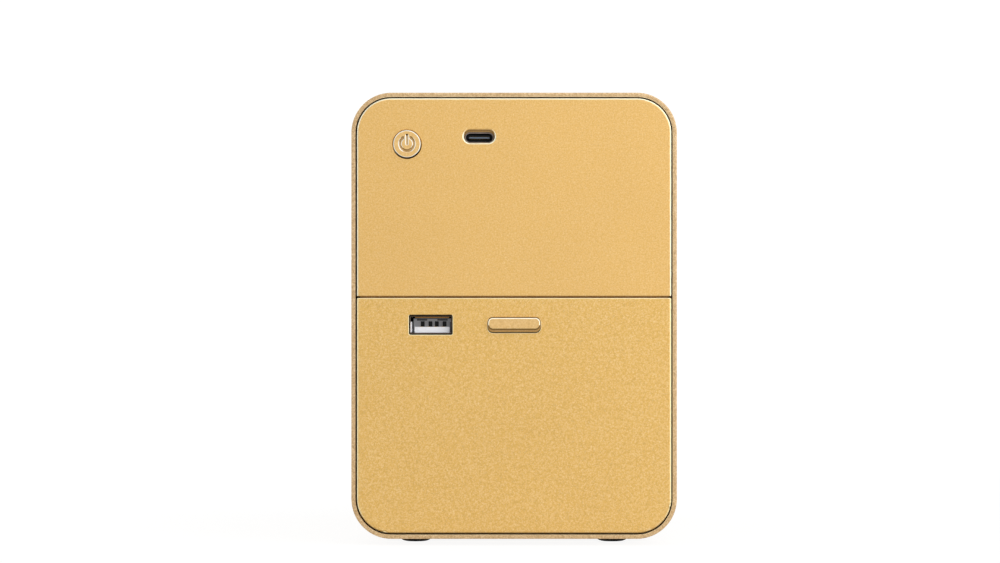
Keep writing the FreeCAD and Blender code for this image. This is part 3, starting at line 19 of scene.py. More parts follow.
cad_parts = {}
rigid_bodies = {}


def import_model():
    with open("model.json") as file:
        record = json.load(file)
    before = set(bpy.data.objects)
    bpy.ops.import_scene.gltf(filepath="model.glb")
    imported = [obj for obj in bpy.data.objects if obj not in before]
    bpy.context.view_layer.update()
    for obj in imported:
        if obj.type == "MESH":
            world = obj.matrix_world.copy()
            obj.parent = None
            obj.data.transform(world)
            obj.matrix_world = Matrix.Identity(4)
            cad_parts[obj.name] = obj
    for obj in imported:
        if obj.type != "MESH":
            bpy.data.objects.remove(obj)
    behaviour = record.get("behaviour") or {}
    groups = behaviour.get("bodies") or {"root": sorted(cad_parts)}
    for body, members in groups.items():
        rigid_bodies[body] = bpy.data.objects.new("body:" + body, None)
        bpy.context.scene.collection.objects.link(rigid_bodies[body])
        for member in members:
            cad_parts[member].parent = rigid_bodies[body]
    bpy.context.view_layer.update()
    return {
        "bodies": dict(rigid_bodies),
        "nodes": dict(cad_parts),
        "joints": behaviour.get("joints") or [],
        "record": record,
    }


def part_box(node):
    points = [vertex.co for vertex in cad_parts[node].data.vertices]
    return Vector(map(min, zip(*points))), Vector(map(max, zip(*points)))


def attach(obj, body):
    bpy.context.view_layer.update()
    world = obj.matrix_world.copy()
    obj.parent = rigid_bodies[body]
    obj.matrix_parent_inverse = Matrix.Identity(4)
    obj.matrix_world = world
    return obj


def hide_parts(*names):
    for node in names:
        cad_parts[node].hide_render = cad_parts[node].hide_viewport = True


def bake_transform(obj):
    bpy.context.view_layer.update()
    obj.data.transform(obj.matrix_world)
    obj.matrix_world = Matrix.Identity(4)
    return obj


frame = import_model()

MM = 0.001
WEAR_AND_LIGHT_MARK = "edge"               # the face attribute that marks wear on edges with painted highlights, and painted shade
AXIS = "axis"               # the vertex attribute that says which way a copy points
CREASE = math.radians(35)   # a turned or grown piece is sharp where it bends more than this

Srgb = tuple[int, int, int]
Point = tuple[float, float, float]
Tree = bpy.types.NodeTree
Node = bpy.types.Node
Socket = bpy.types.NodeSocket
Mesh = bpy.types.Mesh
Piece = bpy.types.Object

log = logging.getLogger("nail_printer")


class Face(NamedTuple):
    """What a face's mark depends on: its middle, its normal, and whether it is an eased edge."""

    spot: Vector
    normal: Vector
    eased: bool


Mark = Callable[[Face], float]


# ---- node trees

class Kind(Enum):
    """The socket types that the trees here use."""

    NUMBER = "NodeSocketFloat"
    COUNT = "NodeSocketInt"
    VECTOR = "NodeSocketVector"
    COLOUR = "NodeSocketColor"
    SOLID = "NodeSocketGeometry"
    MATERIAL = "NodeSocketMaterial"
    OBJECT = "NodeSocketObject"


class TreeKind(Enum):
    """The kinds of node group that are built here."""

    SHADER = "ShaderNodeTree"
    GEOMETRY = "GeometryNodeTree"


class Graph:
    """A node tree while it is being wired."""

    def __init__(self, tree: Tree) -> None:
        """Starts the wiring.

        Args:
            tree: the tree that the nodes go into.
        """
        self.tree = tree
        self.entry: Node | None = None
        self.exit: Node | None = None

    def wire(self, value: object, socket: Socket) -> None:
        """Joins a socket to another one, or sets its plain value.

        Args:
            value: the socket that feeds it, or the value that it holds.
            socket: the input.
        """
        if isinstance(value, Socket):
            self.tree.links.new(value, socket)
        else:
            socket.default_value = value

    def add(self, kind: str, wires: dict | None = None, **settings: object) -> Node:
        """Adds a node.

        Args:
            kind: the node's type.
            wires: what goes into its inputs, by name or number.
            settings: the node's own options.

        Returns:
            The new node.
        """
        node = self.tree.nodes.new(kind)
        for name, value in settings.items():
            setattr(node, name, value)
        for key, value in (wires or {}).items():
            self.wire(value, node.inputs[key])
        return node

    def inlet(self, name: str, kind: Kind, start: object = None) -> Socket:
        """Adds a named input to the tree.

        Args:
            name: the input's name.
            kind: its type.
            start: the value that it has until it is set.

        Returns:
            The socket that gives the input inside the tree.
        """
        item = self.tree.interface.new_socket(name, in_out="INPUT", socket_type=kind.value)
        if start is not None:
            item.default_value = start
        if self.entry is None:
            self.entry = self.tree.nodes.new("NodeGroupInput")
        return self.entry.outputs[name]

    def outlet(self, name: str, kind: Kind, value: Socket) -> None:
        """Adds a named output to the tree.

        Args:
            name: the output's name.
            kind: its type.
            value: the socket that it puts out.
        """
        self.tree.interface.new_socket(name, in_out="OUTPUT", socket_type=kind.value)
        if self.exit is None:
            self.exit = self.tree.nodes.new("NodeGroupOutput")
        self.wire(value, self.exit.inputs[name])

    def calc(self, operation: str, *values: object) -> Socket:
        """Puts numbers through one operation.

        Args:
            operation: the Math node's operation.
            values: its operands, sockets or numbers.

        Returns:
            The result's socket.
        """
        return self.add("ShaderNodeMath", dict(enumerate(values)), operation=operation).outputs[0]

    def ramp(self, value: object, low: float, high: float, out_low: object = 0.0,
             out_high: object = 1.0) -> Socket:
        """Maps one span of a value onto another, and clamps it.

        Args:
            value: the socket to map.
            low: where the span starts.
            high: where it ends.
            out_low: what comes out at its start.
            out_high: what comes out at its end.

        Returns:
            The result's socket.
        """
        wires = {0: value, 1: low, 2: high, 3: out_low, 4: out_high}
        return self.add("ShaderNodeMapRange", wires).outputs[0]

    def tint(self, factor: object, first: object, second: object) -> Socket:
        """Mixes two colours.

        Args:
            factor: how much of the second.
            first: the colour at 0.
            second: the colour at 1.

        Returns:
            The result's socket.
        """
        return self.add("ShaderNodeMix", {0: factor, 6: first, 7: second}, data_type="RGBA").outputs[2]

    def noise(self, vector: object, scale: object, detail: float = 2.0,
              roughness: float = 0.5) -> Socket:
        """Adds a noise pattern and returns its value's socket."""
        wires = {"Vector": vector, "Scale": scale, "Detail": detail, "Roughness": roughness}
        return self.add("ShaderNodeTexNoise", wires).outputs[0]

    def cells(self, vector: object, scale: object) -> Socket:
        """Adds a pattern of cells and returns the socket of each cell's own random value."""
        node = self.add("ShaderNodeTexVoronoi", {"Vector": vector, "Scale": scale})
        return self.add("ShaderNodeSeparateColor", {"Color": node.outputs["Color"]}).outputs[0]


def new_group(name: str, kind: TreeKind) -> Graph:
    """Starts a node group."""
    return Graph(bpy.data.node_groups.new(name, kind.value))


def linear(colour: Srgb) -> tuple[float, float, float, float]:
    """Turns a screen colour into the shader's numbers.

    Args:
        colour: red, green and blue, from 0 to 255.

    Returns:
        The linear colour with an alpha of 1.
    """
    parts = [value / 255 for value in colour]
    return (*(v / 12.92 if v <= 0.04045 else ((v + 0.055) / 1.055) ** 2.4 for v in parts), 1.0)


# ---- shared effects

class Effects:
    """The shader node groups that several finishes share. Each is built once."""

    @staticmethod
    @cache
    def flake() -> Tree:
        """Paint with metal flakes: bright and dark cells in soft clouds.

        Returns:
            The group, with the outputs Colour, Sparkle and Height.
        """
        graph = new_group("metal flake", TreeKind.SHADER)
        place = graph.inlet("Vector", Kind.VECTOR)
        paint = graph.inlet("Paint", Kind.COLOUR)
        bright = graph.inlet("Bright flake", Kind.COLOUR)
        dark = graph.inlet("Dark flake", Kind.COLOUR)
        flake = graph.inlet("Flakes per metre", Kind.NUMBER)
        mottle = graph.inlet("Mottles per metre", Kind.NUMBER)
        amount = graph.inlet("Amount", Kind.NUMBER)
        fine = graph.cells(place, flake)
        coarse = graph.noise(place, mottle, 3.0, 0.6)
        cloud = graph.noise(place, 18.0, 2.0)
        lights = graph.calc("MULTIPLY", graph.ramp(fine, 0.7, 1.0), amount)
        blots = graph.calc("MULTIPLY", graph.ramp(coarse, 0.5, 0.78), amount)
        shades = graph.calc("MULTIPLY", graph.ramp(coarse, 0.5, 0.24), amount)
        drift = graph.ramp(cloud, 0.3, 0.7, 0.0, 0.06)
        colour = graph.tint(lights, paint, bright)
        colour = graph.tint(blots, colour, bright)
        colour = graph.tint(shades, colour, dark)
        colour = graph.tint(drift, colour, dark)
        graph.outlet("Colour", Kind.COLOUR, colour)
        graph.outlet("Sparkle", Kind.NUMBER, graph.calc("MAXIMUM", lights, blots))
        graph.outlet("Height", Kind.NUMBER, graph.calc("ADD", coarse, graph.calc("MULTIPLY", fine, 0.4)))
        return graph.tree

    @staticmethod
    @cache
    def grain() -> Tree:
        """The fine spark-eroded grain of a moulding, with a slow drift of tone.

        Returns:
            The group, with the outputs Colour, Gloss and Height.
        """
        graph = new_group("moulded grain", TreeKind.SHADER)
        place = graph.inlet("Vector", Kind.VECTOR)
        base = graph.inlet("Base", Kind.COLOUR)
        shade = graph.inlet("Shade", Kind.COLOUR)
        size = graph.inlet("Grains per metre", Kind.NUMBER)
        amount = graph.inlet("Amount", Kind.NUMBER)
        speck = graph.noise(place, size, 3.0, 0.65)
        drift = graph.noise(place, 35.0, 3.0)
        both = graph.calc("MULTIPLY", graph.calc("ADD", speck, drift), 0.5)
        weight = graph.calc("MULTIPLY", graph.ramp(both, 0.4, 0.64), amount)
        graph.outlet("Colour", Kind.COLOUR, graph.tint(weight, base, shade))
        graph.outlet("Gloss", Kind.NUMBER, drift)
        graph.outlet("Height", Kind.NUMBER, speck)
        return graph.tree

    @staticmethod
    @cache
    def lines() -> Tree:
        """The long fine scratches of ground, drawn or rolled metal.

        Returns:
            The group, with the outputs Colour, Gloss and Height.
        """
        graph = new_group("drawn lines", TreeKind.SHADER)
        place = graph.inlet("Vector", Kind.VECTOR)
        base = graph.inlet("Base", Kind.COLOUR)
        shade = graph.inlet("Shade", Kind.COLOUR)
        stretch = graph.inlet("Lines per metre", Kind.VECTOR)
        amount = graph.inlet("Amount", Kind.NUMBER)
        drawn = graph.add("ShaderNodeMapping", {"Vector": place, "Scale": stretch}).outputs[0]
        scratch = graph.noise(drawn, 1.0, 4.0, 0.7)
        stain = graph.noise(place, 120.0, 3.0)
        weight = graph.calc("MULTIPLY", graph.ramp(scratch, 0.35, 0.7), amount)
        colour = graph.tint(weight, base, shade)
        colour = graph.tint(graph.ramp(stain, 0.5, 0.8, 0.0, 0.2), colour, shade)
        graph.outlet("Colour", Kind.COLOUR, colour)
        graph.outlet("Gloss", Kind.NUMBER, graph.calc("MAXIMUM", weight, stain))
        graph.outlet("Height", Kind.NUMBER, scratch)
        return graph.tree

    @staticmethod
    @cache
    def edge() -> Tree:
        """Paints by the faces' own mark, from 1, wear on an edge with a painted highlight, to -1, painted
        shade.

        Returns:
            The group, with the outputs Colour, Mask, which says how much wear and painted highlight it lays,
            and Painted shade share.
        """
        graph = new_group("edge scuffs and painted light", TreeKind.SHADER)
        place = graph.inlet("Vector", Kind.VECTOR)
        base = graph.inlet("Base", Kind.COLOUR)
        wear_and_highlight = graph.inlet("Wear and highlight", Kind.COLOUR)
        under = graph.inlet("Painted shade colour", Kind.COLOUR)
        amount = graph.inlet("Amount", Kind.NUMBER)
        mark = graph.add("ShaderNodeAttribute", attribute_name=WEAR_AND_LIGHT_MARK).outputs["Fac"]
        breaks = graph.ramp(graph.noise(place, 260.0, 3.0), 0.25, 0.5, 0.88, 1.0)
        # A positive mark lays wear on edges with a painted highlight; a negative one lays painted shade.
        lit = graph.calc("MULTIPLY", graph.ramp(mark, 0.0, 1.0), breaks)
        mask = graph.calc("MULTIPLY", lit, amount)
        painted_shade = graph.ramp(mark, 0.0, -1.0)
        colour = graph.tint(painted_shade, graph.tint(mask, base, wear_and_highlight), under)
        graph.outlet("Colour", Kind.COLOUR, colour)
        graph.outlet("Mask", Kind.NUMBER, mask)
        graph.outlet("Painted shade share", Kind.NUMBER, painted_shade)
        return graph.tree


# ---- finishes

class MaterialGraph(Graph):
    """A new material's node tree, with its shader and its coordinates."""

    def __init__(self, name: str) -> None:
        """Makes the material.

        Args:
            name: its name.
        """
        self.material = bpy.data.materials.new(name)
        self.material.use_nodes = True
        self.material.node_tree.nodes.clear()
        super().__init__(self.material.node_tree)
        self.shader = self.add("ShaderNodeBsdfPrincipled")
        self.exit = self.add("ShaderNodeOutputMaterial", {"Surface": self.shader.outputs[0]})
        coordinates = self.add("ShaderNodeTexCoord").outputs
        self.place, self.unwrapped = coordinates["Object"], coordinates["UV"]

    def put(self, name: str, value: object) -> None:
        """Feeds one of the shader's inputs, or sets its plain value."""
        self.wire(value, self.shader.inputs[name])

    def use(self, tree: Tree, wires: dict) -> bpy.types.bpy_prop_collection:
        """Places a shared effect, with its own values, and returns its outputs."""
        wires = {"Vector": self.place, **wires}
        return self.add("ShaderNodeGroup", wires, node_tree=tree).outputs

    def bump(self, height: Socket, depth: float, strength: float) -> None:
        """Feeds a height into the shader's normal."""
        wires = {"Strength": strength, "Distance": depth, "Height": height}
        self.put("Normal", self.add("ShaderNodeBump", wires).outputs[0])


@dataclass(frozen=True)
class Finish:
    """What every finish has: a name, a colour, how rough it is, the colour and strength of the wear on its
    edges with their painted highlights, and the colour of its painted shade.
    """

    name: str
    colour: Srgb
    rough: float
    # the colour of wear on edges with their painted highlights, then how strong these are; under is the
    # colour of painted shade, which the lens also uses for its dust
    wear_and_highlight: Srgb
    wear: float = 0.4
    under: Srgb = (30, 30, 32)

    @cache
    def material(self) -> bpy.types.Material:
        """Makes the material once.

        Returns:
            The material.
        """
        graph = MaterialGraph(self.name)
        self.dress(graph)
        return graph.material

    def dress(self, graph: MaterialGraph) -> None:
        """Wires the finish into the shader. Each kind of finish has its own way."""
        raise NotImplementedError

    def ease(self, graph: MaterialGraph, colour: Socket) -> bpy.types.bpy_prop_collection:
        """Puts the wear on edges with its painted highlights, and the painted shade, over a colour and into
        the shader.

        Args:
            graph: the material's graph.
            colour: the colour without wear.

        Returns:
            The effect's outputs: Colour, Mask and Painted shade share.
        """
        marks = graph.use(Effects.edge(), {"Base": colour, "Wear and highlight": linear(self.wear_and_highlight),
                                           "Painted shade colour": linear(self.under), "Amount": self.wear})
        graph.put("Base Color", marks["Colour"])
        return marks


@dataclass(frozen=True)
class Paint(Finish):
    """Satin paint with metal flakes under a thin lacquer."""

    bright: Srgb = (255, 240, 200)
    dark: Srgb = (150, 110, 60)
    metal: float = 0.35
    flake: float = 0.12 * MM
    mottle: float = 0.6 * MM
    amount: float = 0.3
    depth: float = 0.02 * MM
    strength: float = 0.25
    lacquer: float = 0.25
    lacquer_rough: float = 0.25

    def dress(self, graph: MaterialGraph) -> None:
        """Wires flakes, lacquer and grain into the shader.

        Args:
            graph: the material's graph.
        """
        made = graph.use(Effects.flake(), {
            "Paint": linear(self.colour), "Bright flake": linear(self.bright),
            "Dark flake": linear(self.dark), "Flakes per metre": 1 / self.flake,
            "Mottles per metre": 1 / self.mottle, "Amount": self.amount})
        # The marks lay wear on edges with painted highlights, which lose metal and roughness, and painted
        # shade, which turns fully metallic and loses the lacquer.
        marks = self.ease(graph, made["Colour"])
        mask, painted_shade = marks["Mask"], marks["Painted shade share"]
        rough = graph.ramp(made["Sparkle"], 0.0, 0.5, self.rough, self.rough - 0.1)
        graph.put("Roughness", graph.calc("SUBTRACT", rough, graph.calc("MULTIPLY", mask, 0.12)))
        metal = graph.ramp(mask, 0.0, 1.0, self.metal, self.metal * 0.2)
        graph.put("Metallic", graph.calc("MAXIMUM", metal, painted_shade))
        graph.put("Coat Weight", graph.ramp(painted_shade, 0.0, 1.0, self.lacquer, 0.0))
        graph.put("Coat Roughness", self.lacquer_rough)
        graph.bump(made["Height"], self.depth, self.strength)


@dataclass(frozen=True)
class Moulded(Finish):
    """A moulded plastic or rubber with a fine grain."""

    shade: Srgb = (0, 0, 0)
    grain: float = 0.25 * MM
    amount: float = 0.5
    depth: float = 0.02 * MM
    strength: float = 0.3
    sheen: float = 0.0
    lacquer: float = 0.0
    # glow is emission: the lamps' and the lit light guide's own light, and on the white socket plastic
    # painted light
    glow: float = 0.0
    soft: float = 0.0
    gloss: float = 0.5

    def dress(self, graph: MaterialGraph) -> None:
        """Wires the grain, and any sheen, gloss coat or glow, into the shader. The glow of the white socket
        plastic is painted light.

        Args:
            graph: the material's graph.
        """
        made = graph.use(Effects.grain(), {
            "Base": linear(self.colour), "Shade": linear(self.shade),
            "Grains per metre": 1 / self.grain, "Amount": self.amount})
        # The marks lay wear on edges with painted highlights, and painted shade.
        marks = self.ease(graph, made["Colour"])
        rough = graph.ramp(made["Gloss"], 0.3, 0.7, self.rough + 0.04, self.rough - 0.04)
        graph.put("Roughness", graph.calc("SUBTRACT", rough, graph.calc("MULTIPLY", marks["Mask"], 0.1)))
        graph.put("Specular IOR Level", self.gloss)
        graph.put("Sheen Weight", self.sheen)
        graph.put("Coat Weight", self.lacquer)
        graph.put("Coat Roughness", 0.08)
        graph.put("Subsurface Weight", self.soft)
        graph.put("Subsurface Scale", 2 * MM)
        # The lamps' own light, and on the white socket plastic painted light.
        if self.glow:
            graph.put("Emission Color", marks["Colour"])
            graph.put("Emission Strength", self.glow)
        graph.bump(made["Height"], self.depth, self.strength)


@dataclass(frozen=True)
class Metal(Finish):
    """Bare or plated metal with drawn lines along one direction."""

    shade: Srgb = (90, 90, 92)
    lines: Point = (900.0, 900.0, 900.0)
    amount: float = 0.4
    depth: float = 0.008 * MM
    strength: float = 0.2

    def dress(self, graph: MaterialGraph) -> None:
        """Wires the drawn lines into the shader.

        Args:
            graph: the material's graph.
        """
        made = graph.use(Effects.lines(), {
            "Base": linear(self.colour), "Shade": linear(self.shade),
            "Lines per metre": self.lines, "Amount": self.amount})
        # The marks lay wear on edges with painted highlights, and on the shaded steel painted shade.
        mask = self.ease(graph, made["Colour"])["Mask"]
        rough = graph.ramp(made["Gloss"], 0.2, 0.8, self.rough - 0.05, self.rough + 0.08)
        graph.put("Roughness", graph.calc("SUBTRACT", rough, graph.calc("MULTIPLY", mask, 0.06)))
        graph.put("Metallic", 1.0)
        graph.bump(made["Height"], self.depth, self.strength)


@dataclass(frozen=True)
class Board(Finish):
    """A circuit board: solder mask over copper tracks, with a dull laminate grain."""

    track: Srgb = (46, 122, 78)
    tinned: Srgb = (196, 176, 120)
    pitch: float = 2.4 * MM

    def dress(self, graph: MaterialGraph) -> None:
        """Wires the tracks under the solder mask into the shader.

        Args:
            graph: the material's graph.
        """
        tracks = graph.add("ShaderNodeTexBrick", {
            "Vector": graph.place, "Color1": (1, 1, 1, 1), "Color2": (0.4, 0.4, 0.4, 1),
            "Mortar": (0, 0, 0, 1), "Scale": 1 / self.pitch, "Mortar Size": 0.12, "Brick Width": 3.1,
            "Row Height": 0.5}).outputs["Fac"]
        holes = graph.add("ShaderNodeTexVoronoi", {"Vector": graph.place, "Scale": 0.35 / self.pitch})
        vias = graph.ramp(holes.outputs["Distance"], 0.05, 0.07, 1.0, 0.0)
        made = graph.use(Effects.grain(), {
            "Base": linear(self.colour), "Shade": linear(self.track),
            "Grains per metre": 9000.0, "Amount": 0.15})
        colour = graph.tint(graph.calc("MULTIPLY", tracks, 0.55), made["Colour"], linear(self.track))
        self.ease(graph, graph.tint(vias, colour, linear(self.tinned)))
        graph.put("Roughness", graph.ramp(vias, 0.0, 1.0, self.rough, self.rough + 0.1))
        graph.put("Coat Weight", 0.4)
        graph.bump(graph.calc("MAXIMUM", tracks, vias), 0.03 * MM, 0.4)


@dataclass(frozen=True)
class Film(Finish):
    """A flat cable: amber film over a row of copper conductors, laid along its own UV map."""

    conductor: Srgb = (158, 84, 34)
    ways: int = 14

    def dress(self, graph: MaterialGraph) -> None:
        """Wires the conductors' stripes into the shader.

        Args:
            graph: the material's graph.
        """
        split = graph.add("ShaderNodeSeparateXYZ", {0: graph.unwrapped})
        wave = graph.calc("SINE", graph.calc("MULTIPLY", split.outputs["X"], self.ways * 2 * math.pi))
        stripe = graph.ramp(wave, -0.1, 0.35)
        haze = graph.noise(graph.unwrapped, 40.0, 3.0)
        colour = graph.tint(graph.calc("MULTIPLY", stripe, 0.7), linear(self.colour), linear(self.conductor))
        graph.put("Base Color", graph.tint(graph.ramp(haze, 0.4, 0.8, 0.0, 0.2), colour, linear(self.wear_and_highlight)))
        graph.put("Roughness", graph.ramp(haze, 0.3, 0.7, self.rough, self.rough + 0.12))
        graph.put("Coat Weight", 0.6)
        graph.bump(stripe, 0.05 * MM, 0.5)


@dataclass(frozen=True)
class Lens(Finish):
    """Coated glass over a dark barrel, with a painted violet reflection of its coating in a ring."""

    def dress(self, graph: MaterialGraph) -> None:
        """Wires the ring of the coating's painted reflection and the dust on the glass into the shader.

        Args:
            graph: the material's graph.
        """
        speck = graph.noise(graph.place, 5200.0, 3.0)
        self.ease(graph, graph.tint(speck, linear(self.colour), linear(self.under)))
        graph.put("Roughness", graph.ramp(speck, 0.5, 0.8, self.rough, self.rough + 0.1))
        graph.put("Coat Weight", 1.0)
        graph.put("Coat Roughness", 0.02)
        graph.bump(speck, 0.002 * MM, 0.05)


class Palette(Enum):
    """The finishes of this printer."""

    # In the four gold paints below, the second colour is wear on edges with a painted highlight, and the
    # third is painted shade.
    COVER = Paint("gold cover paint", (225, 179, 98), 0.42, (255, 250, 220), 1.0, (84, 48, 12),
                  flake=0.16 * MM, mottle=0.45 * MM, amount=0.25)
    DOOR = Paint("gold door paint", (222, 177, 91), 0.44, (255, 241, 190), 1.0, (72, 47, 12),
                 flake=0.2 * MM, mottle=0.5 * MM, amount=0.3, strength=0.35)
    BUTTON = Paint("gold button paint", (226, 182, 108), 0.36, (255, 253, 238), 1.0, (62, 32, 6), amount=0.2)
    RELEASE = Paint("gold release paint", (222, 180, 110), 0.38, (255, 250, 226), 1.0, (98, 74, 38),
                    amount=0.25)
    # Painted shade of the gap between cover and door, laid on a strip behind the seam.
    SEAM = Paint("brown seam paint", (140, 96, 30), 0.6, (230, 180, 90), 0.3, (60, 42, 18), metal=0.1,
                 amount=0.2, lacquer=0.0)
    # Its second colour is a painted highlight on the inner rim, and its third is painted shade inside the
    # sleeve.
    SLEEVE = Paint("champagne sleeve paint", (201, 167, 119), 0.5, (250, 224, 178), 1.0, (40, 36, 33),
                   bright=(240, 218, 180), dark=(136, 106, 70), flake=0.22 * MM, mottle=0.7 * MM,
                   amount=0.5, depth=0.03 * MM, strength=0.4, lacquer=0.12, lacquer_rough=0.35)
    FOOT = Moulded("black foot rubber", (3, 3, 6), 0.8, (40, 40, 42), 0.3, shade=(7, 7, 10), gloss=0.02)
    SEAL = Moulded("dark seal rubber", (52, 54, 58), 0.58, (84, 86, 90), 0.4, shade=(36, 38, 41), sheen=0.15)
    PAD = Moulded("pale silicone", (222, 204, 198), 0.5, (238, 224, 218), 0.4, shade=(206, 184, 177),
                  sheen=0.25, soft=0.15)
    LINER = Moulded("white liner plastic", (236, 233, 226), 0.48, (248, 246, 240), 0.3, shade=(220, 216, 207))
    FRAME = Moulded("black frame plastic", (44, 44, 46), 0.55, (84, 84, 87), 0.45, shade=(30, 30, 32))
    ENGINE = Moulded("grey engine plastic", (70, 72, 76), 0.5, (116, 118, 122), 0.45, shade=(52, 54, 57))
    CARTRIDGE = Moulded("gloss cartridge plastic", (33, 34, 37), 0.28, (78, 80, 86), 0.4,
                        shade=(22, 23, 25), strength=0.08, lacquer=0.5)
    # Its second colour, bluish, is a painted highlight on the inlet tongue's tip.
    SOCKET_BLACK = Moulded("black socket plastic", (20, 21, 25), 0.42, (98, 114, 132), 1.0,
                           shade=(12, 12, 15))
    # Its glow is painted light on the data socket's shaded tongue, and its third colour is painted shade on
    # the block and slots behind it.
    SOCKET_WHITE = Moulded("white socket plastic", (248, 248, 252), 0.34, (255, 255, 255), 0.5,
                           (3, 3, 4), shade=(232, 232, 238), glow=0.22, gloss=0.25)
    LAMP_BOARD = Moulded("white lamp board", (236, 236, 232), 0.4, (250, 250, 248), 0.3,
                         shade=(218, 218, 212), lacquer=0.3)
    LAMP = Moulded("lamp phosphor", (250, 226, 130), 0.3, (255, 244, 190), 0.3, shade=(238, 204, 96),
                   glow=0.15)
    LIGHT_GUIDE = Moulded("milky light guide", (238, 242, 246), 0.3, (252, 253, 255), 0.5,
                          shade=(218, 226, 234), soft=0.4, glow=0.12)
    CHIP = Moulded("chip epoxy", (36, 36, 38), 0.5, (70, 70, 73), 0.4, shade=(26, 26, 28))
    CAMERA = Moulded("camera housing", (22, 22, 24), 0.36, (60, 60, 64), 0.4, shade=(14, 14, 15), lacquer=0.2)
    BELT = Moulded("belt rubber", (28, 28, 29), 0.66, (58, 58, 60), 0.3, shade=(18, 18, 19))
    GROUND = Metal("ground steel", (200, 202, 205), 0.2, (236, 238, 240), 0.5, shade=(150, 152, 156),
                   lines=(5000.0, 5000.0, 260.0))
    SPRING = Metal("spring steel", (158, 160, 165), 0.28, (200, 202, 206), 0.3, shade=(110, 112, 118))
    CAN = Metal("zinc motor can", (172, 174, 177), 0.34, (214, 216, 218), 0.4, shade=(128, 130, 134),
                lines=(260.0, 260.0, 3000.0))
    SCREW = Metal("zinc screw", (132, 134, 138), 0.3, (196, 198, 202), 0.6, shade=(88, 90, 94))
    SHELL = Metal("nickel socket shell", (206, 208, 212), 0.18, (240, 242, 246), 0.5, shade=(160, 163, 168),
                  lines=(400.0, 6000.0, 400.0))
    # Steel painted dark as shade, on the data socket's shell and near side spring and on the latch keeper
    # behind the seam; its second colour is a painted highlight on the shell's inner edge.
    SHADED_STEEL = Metal("blackened steel", (64, 62, 64), 0.36, (178, 154, 130), 0.9, (20, 18, 18),
                       shade=(40, 39, 41), lines=(400.0, 6000.0, 400.0))
    # The inlet's shell, painted dark as the shade of its recess, with a faint painted highlight on its lip
    # and painted shade on the walls behind it.
    SHADED_RIM = Paint("dulled socket rim", (112, 100, 94), 0.45, (236, 214, 198), 1.0, (9, 8, 10),
                bright=(190, 180, 170), dark=(60, 54, 50), metal=0.3, amount=0.2, lacquer=0.1)
    BRONZE = Metal("sintered bronze", (176, 128, 74), 0.42, (216, 170, 112), 0.4, shade=(118, 82, 46),
                   lines=(3000.0, 3000.0, 3000.0), amount=0.6)
    GILT = Metal("gilt contact", (226, 184, 92), 0.24, (250, 222, 150), 0.4, shade=(184, 140, 60))
    BOARD = Board("green circuit board", (22, 82, 50), 0.36, (150, 150, 96), 0.8)
    FILM = Film("amber film", (206, 132, 52), 0.3, (226, 164, 84))
    # Its second colour is the coating's painted violet reflection.
    LENS = Lens("coated lens", (10, 10, 14), 0.05, (70, 44, 110), 0.8, (22, 24, 34))


# ---- geometry node trees

